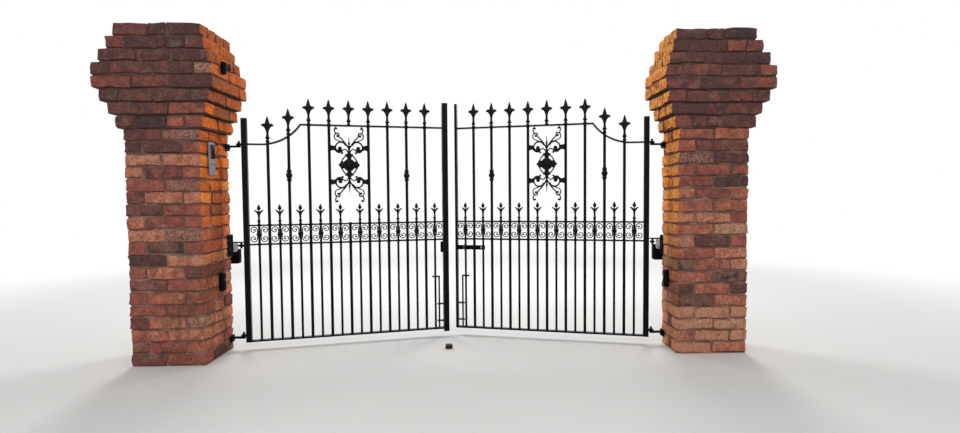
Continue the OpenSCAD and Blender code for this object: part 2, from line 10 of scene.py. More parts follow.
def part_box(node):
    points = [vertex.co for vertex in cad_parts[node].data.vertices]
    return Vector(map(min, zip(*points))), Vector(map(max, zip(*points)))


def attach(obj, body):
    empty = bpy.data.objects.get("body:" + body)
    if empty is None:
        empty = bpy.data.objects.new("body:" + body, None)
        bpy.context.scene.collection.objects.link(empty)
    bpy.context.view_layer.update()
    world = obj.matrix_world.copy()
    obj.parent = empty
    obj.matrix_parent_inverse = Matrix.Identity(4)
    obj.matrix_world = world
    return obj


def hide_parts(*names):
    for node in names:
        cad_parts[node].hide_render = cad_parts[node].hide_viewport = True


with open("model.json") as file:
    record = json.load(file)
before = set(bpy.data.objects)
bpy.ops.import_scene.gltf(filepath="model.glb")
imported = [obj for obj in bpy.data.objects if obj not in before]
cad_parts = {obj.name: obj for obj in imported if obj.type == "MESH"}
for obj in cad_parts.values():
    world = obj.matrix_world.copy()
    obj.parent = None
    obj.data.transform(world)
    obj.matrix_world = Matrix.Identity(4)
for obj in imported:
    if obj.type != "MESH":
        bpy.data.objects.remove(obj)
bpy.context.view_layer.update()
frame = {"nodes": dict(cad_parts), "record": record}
cadNodes = frame["nodes"]
scene = bpy.context.scene
print("frame: %d nodes" % len(cadNodes))


def addObject(name, data):
    made = bpy.data.objects.new(name, data)
    scene.collection.objects.link(made)
    return made


cameraPlace = {
    "location": (0.1329, -3.2736, 0.9866),
    "yaw": 1.298,  # degrees to the right of +Y
    "pitch": 2.324,  # degrees down
    "roll": 0.453,
    "lens": 19.125,
}


def addCamera(place):
    yaw, pitch, roll = (math.radians(place[k]) for k in ("yaw", "pitch", "roll"))
    ahead = Vector((math.sin(yaw) * math.cos(pitch), math.cos(yaw) * math.cos(pitch), -math.sin(pitch)))
    level = Vector((math.cos(yaw), -math.sin(yaw), 0))
    upright = level.cross(ahead)
    right = math.cos(roll) * level - math.sin(roll) * upright
    up = math.sin(roll) * level + math.cos(roll) * upright
    turn = Matrix((right, up, -ahead)).transposed().to_4x4()
    data = bpy.data.cameras.new("streetView")
    data.sensor_width = 36
    data.lens = place["lens"]
    data.clip_end = 100
    camera = addObject("streetView", data)
    camera.matrix_world = Matrix.Translation(place["location"]) @ turn
    scene.camera = camera


addCamera(cameraPlace)


# settings and inputs of a node, by name or in order: sockets are joined, all else is set
def fill(tree, made, *inOrder, **named):
    for key, value in [*named.items(), *enumerate(inOrder)]:
        if isinstance(key, str) and key not in made.inputs:
            setattr(made, key, value)
        elif hasattr(value, "links"):
            tree.links.new(value, made.inputs[key])
        elif value is not None:
            made.inputs[key].default_value = value
    return made


def node(tree, kind, *inOrder, **named):
    return fill(tree, tree.nodes.new(kind), *inOrder, **named)


def sums(tree, operation, *values, clamp=False):
    return node(tree, "ShaderNodeMath", *values, operation=operation, use_clamp=clamp).outputs[0]


def times(tree, *pair):
    return sums(tree, "MULTIPLY", *pair)


# value * factor + more
def scaled(tree, value, factor, more, clamp=False):
    return sums(tree, "MULTIPLY_ADD", value, factor, more, clamp=clamp)


def spread(tree, value, low, high, first=0.0, last=1.0):
    ends = (value, low, high, first, last)
    return node(tree, "ShaderNodeMapRange", *ends, interpolation_type="SMOOTHSTEP").outputs["Result"]


def axisOf(tree, vector, axis):
    return node(tree, "ShaderNodeSeparateXYZ", vector).outputs[axis]


# how far a face looks along an axis
def looksAlong(tree, axis):
    return axisOf(tree, node(tree, "ShaderNodeNewGeometry").outputs["Normal"], axis)


def cloud(tree, coords, **settings):
    return node(tree, "ShaderNodeTexNoise", Vector=coords, **settings).outputs["Fac"]


def newMaterial(name):
    material = bpy.data.materials.new(name)
    material.use_nodes = True
    tree = material.node_tree
    coords = tree.nodes.new("ShaderNodeTexCoord").outputs["Object"]
    return material, tree, tree.nodes["Principled BSDF"], coords


def ramp(tree, source, stops):
    made = node(tree, "ShaderNodeValToRGB", source)
    elements = made.color_ramp.elements
    while len(elements) < len(stops):
        elements.new(0.5)
    for element, (at, colour) in zip(elements, stops):
        element.position = at
        element.color = (*colour, 1)
    return made.outputs["Color"]


def grey(value):
    return (value, value, value)


def mixColour(tree, factor, first, second, blend="MIX"):
    pair = [c if hasattr(c, "links") else (*c, 1) for c in (first, second)]
    made = node(tree, "ShaderNodeMix", factor, *[None] * 5, *pair, data_type="RGBA", blend_type=blend)
    return made.outputs[2]


# colours over one another, each with the mask that shows it
def layered(tree, base, *layers):
    for factor, colour, *blend in layers:
        base = mixColour(tree, factor, base, colour, *blend)
    return base


def addBump(tree, shader, height, strength, distance, below=None):
    made = node(tree, "ShaderNodeBump", Strength=strength, Distance=distance, Height=height, Normal=below)
    fill(tree, shader, Normal=made.outputs["Normal"])
    return made.outputs["Normal"]


# a node group from a place and some values to one value
def newGroup(name, inputs, output):
    group = bpy.data.node_groups.new(name, "ShaderNodeTree")
    group.interface.new_socket("Vector", in_out="INPUT", socket_type="NodeSocketVector")
    for label, value in inputs.items():
        socket = group.interface.new_socket(label, in_out="INPUT", socket_type="NodeSocketFloat")
        socket.default_value = value
    group.interface.new_socket(output, in_out="OUTPUT", socket_type="NodeSocketFloat")
    return group, group.nodes.new("NodeGroupInput").outputs, group.nodes.new("NodeGroupOutput")


def placeGroup(tree, group, coords, **values):
    return node(tree, "ShaderNodeGroup", node_tree=group, Vector=coords, **values).outputs[0]


# soft patches between 0 and 1, for uneven paint, stains and blooms
def patchGroup():
    group, first, last = newGroup("patches", {"Scale": 5, "Detail": 4, "Low": 0.4, "High": 0.6}, "Mask")
    uneven = cloud(group, first["Vector"], Scale=first["Scale"], Detail=first["Detail"])
    fill(group, last, spread(group, uneven, first["Low"], first["High"]))
    return group


# dust that lies on whatever faces up
def dustGroup():
    group, first, last = newGroup("dustOnTop", {"Scale": 40, "Amount": 0.5}, "Mask")
    upward = spread(group, looksAlong(group, "Z"), 0.35, 0.95)
    speckled = times(group, upward, cloud(group, first["Vector"], Scale=first["Scale"], Detail=3))
    fill(group, last, times(group, speckled, first["Amount"]))
    return group


# height of a fine uneven skin: brushed paint, cast metal or moulded plastic
def skinGroup():
    group, first, last = newGroup("skin", {"Coarse": 60, "Fine": 400, "Share": 0.4}, "Height")
    broad, small = (cloud(group, first["Vector"], Scale=first[key], Detail=2) for key in ("Coarse", "Fine"))
    blend = node(group, "ShaderNodeMix", first["Share"], None, broad, small, data_type="FLOAT")
    fill(group, last, blend.outputs[0])
    return group


patches, dustOnTop, skin = patchGroup(), dustGroup(), skinGroup()


# a pattern is scale, detail, low and high
def patchesOf(tree, coords, pattern):
    return placeGroup(tree, patches, coords, **dict(zip(("Scale", "Detail", "Low", "High"), pattern)))


# paint or bare finish with patches, dust, rust specks and a fine skin
def coatedMaterial(name, look):
    material, tree, shader, coords = newMaterial(name)
    worn = patchesOf(tree, coords, (look["patchScale"], 5, 0.42, 0.62))
    dusty = placeGroup(tree, dustOnTop, coords, Scale=look["dustScale"], Amount=look["dust"])
    base = mixColour(tree, worn, look["colour"], look["patchColour"])
    if "rust" in look:
        specks = patchesOf(tree, coords, (look["rustScale"], 8, 0.7, 0.75))
        base = mixColour(tree, specks, base, look["rust"])
    rough = ramp(tree, worn, [(at, grey(value)) for at, value in enumerate(look["roughness"])])
    fill(tree, shader, **{
        "Base Color": mixColour(tree, dusty, base, look["dustColour"]),
        "Roughness": mixColour(tree, dusty, rough, grey(0.8)),
        "Metallic": look.get("metallic", 0),
        "Specular IOR Level": look.get("sheen", 0.5),
        "Specular Tint": (*look.get("sheenTint", grey(1.0)), 1),
    })
    coarse, fine, share, distance = look["skin"]
    height = placeGroup(tree, skin, coords, Coarse=coarse, Fine=fine, Share=share)
    addBump(tree, shader, height, look["bump"], distance)
    return material


finishes = {
    "blackIron": {
        "colour": (0.0036, 0.0039, 0.0058), "patchColour": (0.0058, 0.006, 0.008), "patchScale": 9,
        "dustColour": (0.12, 0.115, 0.11), "dust": 0.16, "dustScale": 60,
        "rust": (0.03, 0.014, 0.008), "rustScale": 24,
        "roughness": (0.26, 0.42), "sheen": 0.09, "sheenTint": (0.72, 0.76, 1.0),
        "skin": (45, 260, 0.35, 0.0012), "bump": 0.15,
    },
    "blackCasting": {
        "colour": (0.0038, 0.004, 0.0056), "patchColour": (0.0075, 0.0075, 0.0085), "patchScale": 22,
        "dustColour": (0.14, 0.13, 0.12), "dust": 0.2, "dustScale": 90,
        "rust": (0.035, 0.016, 0.009), "rustScale": 40,
        "roughness": (0.28, 0.44), "sheen": 0.12, "sheenTint": (0.78, 0.82, 1.0),
        "skin": (120, 500, 0.5, 0.0012), "bump": 0.3,
    },
    "castIron": {
        "colour": (0.036, 0.013, 0.008), "patchColour": (0.016, 0.008, 0.007), "patchScale": 60,
        "dustColour": (0.3, 0.19, 0.14), "dust": 0.5, "dustScale": 90,
        "roughness": (0.55, 0.8), "sheen": 0.3, "skin": (150, 700, 0.5, 0.003), "bump": 0.6,
    },
    "castHousing": {
        "colour": (0.6, 0.595, 0.6), "patchColour": (0.45, 0.44, 0.44), "patchScale": 25,
        "dustColour": (0.38, 0.35, 0.31), "dust": 0.6, "dustScale": 70,
        "roughness": (0.4, 0.58), "metallic": 0.05, "skin": (200, 900, 0.6, 0.001), "bump": 0.4,
    },
    "blackPlastic": {
        "colour": (0.0035, 0.0034, 0.004), "patchColour": (0.006, 0.0058, 0.0062), "patchScale": 18,
        "dustColour": (0.14, 0.13, 0.12), "dust": 0.2, "dustScale": 80,
        "roughness": (0.45, 0.6), "sheen": 0.05, "skin": (500, 1500, 0.6, 0.0006), "bump": 0.3,
    },
    "darkLens": {
        "colour": (0.003, 0.003, 0.005), "patchColour": (0.005, 0.005, 0.007), "patchScale": 8,
        "dustColour": (0.2, 0.19, 0.18), "dust": 0.2, "dustScale": 80,
        "roughness": (0.06, 0.14), "sheen": 0.4, "skin": (80, 500, 0.2, 0.0004), "bump": 0.05,
    },
    "greyPanel": {
        "colour": (0.25, 0.258, 0.295), "patchColour": (0.2, 0.207, 0.235), "patchScale": 14,
        "dustColour": (0.35, 0.33, 0.3), "dust": 0.4, "dustScale": 60,
        "roughness": (0.36, 0.5), "metallic": 0.3, "skin": (400, 1600, 0.5, 0.0004), "bump": 0.2,
    },
    "paleKnob": {
        "colour": (0.72, 0.72, 0.68), "patchColour": (0.6, 0.59, 0.54), "patchScale": 120,
        "dustColour": (0.4, 0.37, 0.32), "dust": 0.4, "dustScale": 200,
        "roughness": (0.18, 0.3), "skin": (300, 900, 0.4, 0.0003), "bump": 0.15,
    },
    "blackPlate": {
        "colour": (0.0022, 0.0023, 0.0034), "patchColour": (0.004, 0.0042, 0.0055), "patchScale": 22,
        "dustColour": (0.1, 0.09, 0.085), "dust": 0.12, "dustScale": 90,
        "rust": (0.022, 0.01, 0.006), "rustScale": 40,
        "roughness": (0.5, 0.68), "sheen": 0.035, "skin": (90, 420, 0.4, 0.0012), "bump": 0.25,
    },
    "sensorShell": {
        "colour": (0.045, 0.016, 0.01), "patchColour": (0.025, 0.011, 0.009), "patchScale": 30,
        "dustColour": (0.2, 0.18, 0.16), "dust": 0.3, "dustScale": 90,
        "roughness": (0.5, 0.65), "sheen": 0.05, "skin": (400, 1200, 0.6, 0.0005), "bump": 0.25,
    },
}
materials = {name: coatedMaterial(name, look) for name, look in finishes.items()}
print("finishes: %d" % len(materials))


brickLook = {
    "clays": [(0.0, (0.12, 0.052, 0.047)), (0.2, (0.205, 0.07, 0.058)), (0.42, (0.3, 0.09, 0.066)),
              (0.66, (0.39, 0.118, 0.08)), (0.86, (0.48, 0.165, 0.098)), (1.0, (0.56, 0.25, 0.15))],
    "burnt": (0.06, 0.042, 0.045),
    "lime": (0.46, 0.33, 0.25),
    "paintedShade": (0.035, 0.02, 0.017),  # painted shade: on faces that look down, in small holes and higher up on the joints
    "sunlitOrange": [(0.0, (0.34, 0.07, 0.016)), (0.3, (0.66, 0.125, 0.012)), (0.62, (0.92, 0.175, 0.01)),
             (1.0, (1.0, 0.29, 0.025))],  # painted sunlight: the orange of sunlit inner faces
    "sunlitPale": (1.0, 0.42, 0.08),
    "warmMortar": (0.24, 0.06, 0.025),
    "algae": (0.1, 0.075, 0.035),
    "algaeAt": (-1.5, -0.34, 0.33),
    "mortar": (0.17, 0.085, 0.066),
    "mortarPale": (0.31, 0.18, 0.14),
    "strengths": {
        "burnt": 0.36, "haze": 0.28, "streaks": 0.3, "sunlitOrange": 0.62, "smear": 0.6, "under": 0.8,
        "holes": 0.6, "specks": 0.3, "grain": 0.75, "algae": 0.75, "warmMortar": 0.5, "sand": 0.6,
    },
    "shift": (3.1, 7.7, 5.3),  # how far a brick's pattern lies from that of the next tone
    "mortarPatches": (9, 6, 0.4, 0.65),
    "patches": {
        "burnt": (16, 7, 0.48, 0.66), "limed": (95, 9, 0.38, 0.66), "haze": (13, 9, 0.52, 0.78),
        "streaks": (30, 8, 0.3, 0.62), "sunPatches": (38, 8, 0.36, 0.56), "smear": (45, 6, 0.35, 0.7),
        "holes": (115, 4, 0.6, 0.7), "specks": (135, 4, 0.62, 0.72), "algae": (34, 8, 0.4, 0.6),
    },
}


# 1 on faces that look down, where painted shade goes
def shadeBelowMask(tree):
    return spread(tree, times(tree, looksAlong(tree, "Z"), -1.0), 0.25, 0.75)


# 1 on faces that look into the gateway, more so higher up, but not on brick ends inside the joints: where
# painted sunlight goes
def innerMask(tree, coords):
    x = axisOf(tree, coords, "X")
    inward = times(tree, looksAlong(tree, "X"), sums(tree, "SIGN", x))
    faces = spread(tree, times(tree, inward, -1.0), 0.35, 0.85)
    skinDeep = spread(tree, sums(tree, "ABSOLUTE", x), 1.424, 1.434, 1.0, 0.0)
    higher = spread(tree, axisOf(tree, coords, "Z"), 0.4, 1.1, 0.15, 1.0)
    return times(tree, times(tree, faces, skinDeep), higher)


# painted sunlight: pale sunlit patches, more on the right pier, which gets more sun than the left one
def sunMask(tree, coords):
    return spread(tree, axisOf(tree, coords, "X"), -0.5, 0.5, 0.12, 0.9)


def brickMaterial(look):
    material, tree, shader, coords = newMaterial("redBrick")
    share = look["strengths"]
    tone, cold, lime, edge = (node(tree, "ShaderNodeAttribute", attribute_name=name).outputs["Fac"]
                              for name in ("tone", "cold", "lime", "edge"))
    shift = node(tree, "ShaderNodeVectorMath", look["shift"], operation="SCALE", Scale=tone).outputs[0]
    own = node(tree, "ShaderNodeVectorMath", coords, shift, operation="ADD").outputs[0]
    spots = {name: patchesOf(tree, coords if name == "algae" else own, pattern)
             for name, pattern in look["patches"].items()}
    level = scaled(tree, cloud(tree, own, Scale=24, Detail=7, Roughness=0.62), 1.5, -0.78)
    paintedSunColour = ramp(tree, scaled(tree, level, 0.8, tone, clamp=True), look["sunlitOrange"])
    sunny = times(tree, spots["sunPatches"], sunMask(tree, coords))
    sandy = cloud(tree, own, Scale=75, Detail=6, Roughness=0.7)
    grain = ramp(tree, sandy, [(0.3, grey(0.5)), (0.7, grey(1.5))])
    gap = node(tree, "ShaderNodeVectorMath", coords, look["algaeAt"], operation="DISTANCE")
    grown = times(tree, spread(tree, gap.outputs["Value"], 0.05, 0.24, 1.0, 0.0), spots["algae"])
    base = layered(
        tree, ramp(tree, sums(tree, "ADD", level, tone, clamp=True), look["clays"]),
        (scaled(tree, spots["burnt"], share["burnt"], cold, clamp=True), look["burnt"]),
        (scaled(tree, spots["limed"], lime, times(tree, spots["haze"], share["haze"]), clamp=True),
         look["lime"]),
        # painted sunlight: inner faces turned orange, more so higher up, with pale sunlit patches
        (times(tree, innerMask(tree, coords),
               scaled(tree, spots["streaks"], share["streaks"], share["sunlitOrange"])),
         mixColour(tree, sunny, paintedSunColour, look["sunlitPale"])),
        (times(tree, times(tree, spots["smear"], edge), share["smear"]), look["mortar"]),
        # painted shade on faces that look down and in small holes
        (times(tree, shadeBelowMask(tree), share["under"]), look["paintedShade"]),
        (times(tree, spots["holes"], share["holes"]), look["paintedShade"]),
        (times(tree, spots["specks"], share["specks"]), look["lime"]),
        (share["grain"], grain, "MULTIPLY"),
        (times(tree, grown, share["algae"]), look["algae"]))
    fill(tree, shader, **{"Base Color": base, "Roughness": 0.9, "Specular IOR Level": 0.2})
    pits = node(tree, "ShaderNodeTexVoronoi", Vector=own, Scale=170).outputs["Distance"]
    creased = addBump(tree, shader, cloud(tree, own, Scale=60, Detail=8, Distortion=0.7), 1.0, 0.011)
    addBump(tree, shader, spread(tree, pits, 0.0, 0.35), 0.35, 0.0015, creased)
    return material


def mortarMaterial(look):
    material, tree, shader, coords = newMaterial("limeMortar")
    share = look["strengths"]
    sand = node(tree, "ShaderNodeTexVoronoi", Vector=coords, Scale=420).outputs["Distance"]
    base = layered(
        tree, look["mortar"],
        (patchesOf(tree, coords, look["mortarPatches"]), look["mortarPale"]),
        # painted shade: joints darker higher up
        (spread(tree, axisOf(tree, coords, "Z"), 1.0, 1.45, 0.0, 0.6), look["paintedShade"]),
        # painted sunlight on the joints of the inner faces
        (times(tree, innerMask(tree, coords), share["warmMortar"]), look["warmMortar"]),
        # painted shade on faces that look down
        (times(tree, shadeBelowMask(tree), share["under"]), look["paintedShade"]),
        (share["sand"], ramp(tree, sand, [(0, grey(0.62)), (0.6, grey(1.1))]), "MULTIPLY"))
    fill(tree, shader, **{"Base Color": base, "Roughness": 0.95, "Specular IOR Level": 0.2})
    rough = addBump(tree, shader, cloud(tree, coords, Scale=110, Detail=6), 0.8, 0.004)
    addBump(tree, shader, sand, 0.5, 0.001, rough)
    return material


materials["redBrick"] = brickMaterial(brickLook)
materials["limeMortar"] = mortarMaterial(brickLook)


def meshObject(name, points, faces, material=None, smooth=False):
    mesh = bpy.data.meshes.new(name)
    mesh.from_pydata([tuple(p) for p in points], [], faces)
    mesh.validate()
    if smooth:
        mesh.shade_smooth()
    if material:
        mesh.materials.append(materials[material])
    return addObject(name, mesh)


# Geometry Nodes: a sample on every point, turned and fitted by the point's own
# values, then nudged and worn
def repeatTree():
    tree = bpy.data.node_groups.new("repeatOnPoints", "GeometryNodeTree")
    inputs = [("Geometry", "Geometry", None), ("Turn", "Float", 0.01), ("Set", "Float", 0.001),
              ("Wobble", "Float", 0.002), ("Grain", "Float", 18.0), ("Seed", "Int", 1),
              ("Sample", "Object", None), ("Material", "Material", None)]
    for label, kind, value in inputs:
        socket = tree.interface.new_socket(label, in_out="INPUT", socket_type="NodeSocket" + kind)
        if value is not None:
            socket.default_value = value
    tree.interface.new_socket("Geometry", in_out="OUTPUT", socket_type="NodeSocketGeometry")
    first = tree.nodes.new("NodeGroupInput").outputs

    def step(kind, *inOrder, **named):
        return node(tree, "GeometryNode" + kind, *inOrder, **named).outputs[0]

    def vectors(operation, *values, **named):
        return node(tree, "ShaderNodeVectorMath", *values, operation=operation, **named).outputs[0]

    def stored(name, kind="FLOAT_VECTOR"):
        return step("InputNamedAttribute", data_type=kind, Name=name)

    def dice(span, offset):
        ends = [vectors("SCALE", (sign, sign, sign), Scale=span) for sign in (-1, 1)]
        seed = sums(tree, "ADD", first["Seed"], offset)
        return node(tree, "FunctionNodeRandomValue", *ends, data_type="FLOAT_VECTOR", Seed=seed).outputs[0]

    shape = node(tree, "GeometryNodeObjectInfo", Object=first["Sample"]).outputs["Geometry"]
    shape = step("InstanceOnPoints", Points=first["Geometry"], Instance=shape, Scale=stored("fit"),
                 Rotation=vectors("ADD", stored("heading"), dice(first["Turn"], 3)))
    shape = step("TranslateInstances", shape, Translation=dice(first["Set"], 7), **{"Local Space": False})
    shape = step("RealizeInstances", shape)
    apart = vectors("SCALE", (13, 29, 17), Scale=stored("tone", "FLOAT"))
    place = vectors("ADD", step("InputPosition"), apart)
    worn = node(tree, "ShaderNodeTexNoise", Vector=place, Detail=3, Scale=first["Grain"]).outputs["Color"]
    centred = vectors("SUBTRACT", worn, (0.5, 0.5, 0.5))
    shape = step("SetPosition", Geometry=shape, Offset=vectors("SCALE", centred, Scale=first["Wobble"]))
    shape = step("SetMaterial", Geometry=shape, Material=first["Material"])
    node(tree, "NodeGroupOutput", shape)
    return tree


repeating = repeatTree()


# a place for a repeated sample, with values that its material reads
def spot(at, turn=(0, 0, 0), size=(1, 1, 1), **values):
    return at, turn, size, values


# the sample on every spot, as one plain mesh
def repeat(name, sample, spots, material, **settings):
    places, turns, sizes, values = zip(*spots)
    points = bpy.data.meshes.new(name + "Points")
    points.from_pydata([tuple(place) for place in places], [], [])
    for label, column in (("heading", turns), ("fit", sizes)):
        flat = [number for entry in column for number in entry]
        points.attributes.new(label, "FLOAT_VECTOR", "POINT").data.foreach_set("vector", flat)
    for label in values[0]:
        flat = [entry[label] for entry in values]
        points.attributes.new(label, "FLOAT", "POINT").data.foreach_set("value", flat)
    carrier = addObject(name + "Points", points)
    modifier = carrier.modifiers.new("repeating", "NODES")
    modifier.node_group = repeating
    given = {"Turn": 0.0, "Set": 0.0, "Wobble": 0.0, "Seed": 1, "Sample": sample,
             "Material": materials[material], **settings}
    for item in repeating.interface.items_tree:
        if item.in_out == "INPUT" and item.name in given:
            modifier[item.identifier] = given[item.name]
    bpy.context.view_layer.update()
    graph = bpy.context.evaluated_depsgraph_get()
    mesh = bpy.data.meshes.new_from_object(carrier.evaluated_get(graph))
    mesh.name = name
    carrier.modifiers.clear()
    bpy.data.objects.remove(carrier)
    return addObject(name, mesh)


# what a piece rides on, its slot in the record (not used) and the CAD nodes whose place it takes
def belong(piece, body, slot, *nodes):
    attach(piece, body)
    if nodes:
        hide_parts(*nodes)
    return piece


def triangles(*pieces):
    return sum(len(p.vertices) - 2 for piece in pieces for p in piece.data.polygons)


brickwork = {
    "length": 0.215,
    "depth": 0.1025,
    "height": 0.067,
    "joint": 0.0075,
    "course": 0.075,
    "chamfer": 0.0075,
    "wobble": 0.03,  # how far a face wanders
    "grain": 19.0,
    "turn": 0.018,  # radians
    "set": 0.0018,  # how far a brick sits in or out
    "wave": 0.0045,  # how far a course strays from level
    "inset": 0.0036,  # mean face behind the pier's own face
    "recess": 0.0098,  # mortar behind the pier's own face
    "coldShare": 0.05,
    "plumShare": 0.16,
    "limeShare": 0.075,
    "uneven": 0.011,  # hand-made bricks differ in length
    "mortarCell": 0.03,
    "mortarWave": 0.0022,
    "wavePlaces": ((9.3, 1.7, 4.1), (3.9, 12.6, 8.2)),  # where its noise is read for x and for y
    "roofShadeFrom": 1.25,  # height from which plum and darker bricks are more common: painted shade on the pier heads
    "toneShift": {"left": 0.0, "right": 0.62},  # fades out towards "paleTo"
    "paleTo": 1.2,
    "plumShift": {"left": 0.0, "right": -0.07},
    "seed": 11,
}


# a box whose surface is cut along given lines, with its edges rounded; edges: 1 on the rounded ones
def softBlock(size, chamfer, cuts):
    half = [s / 2 for s in size]
    lines = []
    for h, n in zip(half, cuts):
        inner = [(-h + chamfer) + (2 * h - 2 * chamfer) * i / n for i in range(n + 1)]
        lines.append([-h, *inner, h])
    index, points, faces, edges = {}, [], [], []

    def corner(place):
        if place not in index:
            p = Vector([line[i] for line, i in zip(lines, place)])
            core = Vector([max(-h + chamfer, min(h - chamfer, c)) for c, h in zip(p, half)])
            off = p - core
            index[place] = len(points)
            points.append(core + off.normalized() * chamfer if off.length > 0 else p)
            edges.append(1.0 if sum(abs(c) > 1e-6 for c in off) > 1 else 0.0)
        return index[place]

    ends = [len(line) - 1 for line in lines]
    for axis in range(3):
        a, b = [x for x in range(3) if x != axis]
        for end in (0, ends[axis]):
            for i in range(ends[a]):
                for j in range(ends[b]):
                    ring = []
                    for di, dj in ((0, 0), (1, 0), (1, 1), (0, 1)):
                        place = {axis: end, a: i + di, b: j + dj}
                        ring.append(corner((place[0], place[1], place[2])))
                    outward = (end > 0) == (axis != 1)
                    faces.append(ring if outward else ring[::-1])
    return points, faces, edges


# lengths of whole and half bricks that fill a run
def fillRun(run, rules, dice):
    whole, half, joint = rules["length"], rules["depth"], rules["joint"]
    options = []
    for wholes in range(5):
        for halves in range(4):
            if wholes + halves:
                room = run - joint * (wholes + halves - 1)
                wanted = wholes * whole + halves * half
                score = abs(math.log(max(room, 1e-3) / wanted)) + 0.02 * halves
                options.append((score, wholes, halves, room / wanted))
    score, wholes, halves, stretch = min(options, key=lambda option: option[0])
    lengths = [whole] * wholes + [half] * halves
    dice.shuffle(lengths)
    lengths = [x * stretch for x in lengths]
    for i in range(len(lengths) - 1):
        shift = dice.uniform(-rules["uneven"], rules["uneven"])
        lengths[i] += shift
        lengths[i + 1] -= shift
    return lengths


# bricks of one course round a rectangle, (x, y, length, thickness, turn): sides that own the
# corners alternate, and a full course is laid right across
def layCourse(low, high, odd, rules, dice, full):
    depth, joint = rules["depth"], rules["joint"]
    laid = []

    def run(start, length, across, alongX, thick):
        at = start
        for piece in fillRun(length, rules, dice):
            middle = at + piece / 2
            place = (middle, across) if alongX else (across, middle)
            laid.append((*place, piece, thick, 0.0 if alongX else math.pi / 2))
            at += piece + joint

    if full:
        deep = high[1] - low[1]
        rows = max(2, round((deep + joint) / (depth + joint)))
        thick = (deep - joint * (rows - 1)) / rows
        for k in range(rows):
            run(low[0], high[0] - low[0], low[1] + thick / 2 + k * (thick + joint), True, thick)
        return laid
    for alongX in (odd, not odd):
        axis = 0 if alongX else 1
        short = 0 if alongX == odd else depth + joint
        for across in (low[1 - axis] + depth / 2, high[1 - axis] - depth / 2):
            run(low[axis] + short, high[axis] - low[axis] - 2 * short, across, alongX, depth)
    return laid


# courses of a pier's shaft or head: list of (z low, z high, low corner, high corner)
def readCourses(nodeName):
    mesh = cadNodes[nodeName].data
    levels = sorted({round(v.co.z, 4) for v in mesh.vertices})
    upright = [[mesh.vertices[i].co for i in p.vertices] for p in mesh.polygons if abs(p.normal.z) < 0.5]
    bands = []
    for a, b in zip(levels, levels[1:]):
        middle = (a + b) / 2
        crossing = [ring for ring in upright if min(c.z for c in ring) < middle < max(c.z for c in ring)]
        xs, ys = ([c[axis] for ring in crossing for c in ring] for axis in (0, 1))
        bands.append((a, b, (min(xs), min(ys)), (max(xs), max(ys))))
    return bands


def clampTo(mesh, low, high):
    for v in mesh.vertices:
        v.co = [min(max(c, a), b) for c, a, b in zip(v.co, low, high)]


# what a brick is made of: mostly red, with plum, burnt and lime-stained ones
def brickKind(dice, rules, side, z):
    chance = dice.random()
    # painted shade: bricks higher up are darker and more often plum
    roofShade = min(max((z - rules["roofShadeFrom"]) / 0.25, 0), 1)
    tone = dice.uniform(0.2, 1.0) + rules["toneShift"][side] * max(rules["paleTo"] - z, 0)
    kind = {"tone": tone - 0.4 * roofShade, "cold": 0.14 * roofShade, "lime": 0.0}
    plum = rules["plumShare"] + rules["plumShift"][side] + 0.22 * roofShade
    if chance < rules["coldShare"]:
        kind["cold"] = dice.uniform(0.6, 0.8)
    elif chance < rules["coldShare"] + plum:
        kind["cold"] = dice.uniform(0.2, 0.4)
        kind["tone"] = dice.uniform(0.0, 0.35)
    elif chance < rules["coldShare"] + plum + rules["limeShare"]:
        kind["lime"] = dice.uniform(0.45, 0.85)
    return kind


def layBricks(name, nodeName, rules, bands, odd):
    dice = random.Random(rules["seed"] + sum(map(ord, nodeName)))
    spots, inset = [], rules["inset"]
    for a, b, low, high in bands:
        count = max(1, round((b - a) / rules["course"]))
        step = (b - a) / count
        low, high = (low[0] + inset, low[1] + inset), (high[0] - inset, high[1] - inset)
        for k in range(count):
            top = (a, b) == bands[-1][:2] and k == count - 1 and "head" in nodeName
            z = a + step * (k + 0.5)
            for x, y, length, thick, turn in layCourse(low, high, odd, rules, dice, top):
                stray = noise.noise(Vector((x * 5, y * 5, z * 9))) * rules["wave"]
                tall = (step - rules["joint"]) / rules["height"] * dice.uniform(0.95, 1.04)
                size = (length / rules["length"], thick / rules["depth"], tall)
                kind = brickKind(dice, rules, nodeName.split("_")[0], z)
                spots.append(spot((x, y, z + stray), (0, 0, turn), size, **kind))
            odd = not odd
    settings = {label: rules[label.lower()] for label in ("Turn", "Set", "Wobble", "Grain", "Seed")}
    made = repeat(name, sampleBrick, spots, "redBrick", **settings)
    clampTo(made.data, *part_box(nodeName))
    made.data.shade_smooth()
    return made


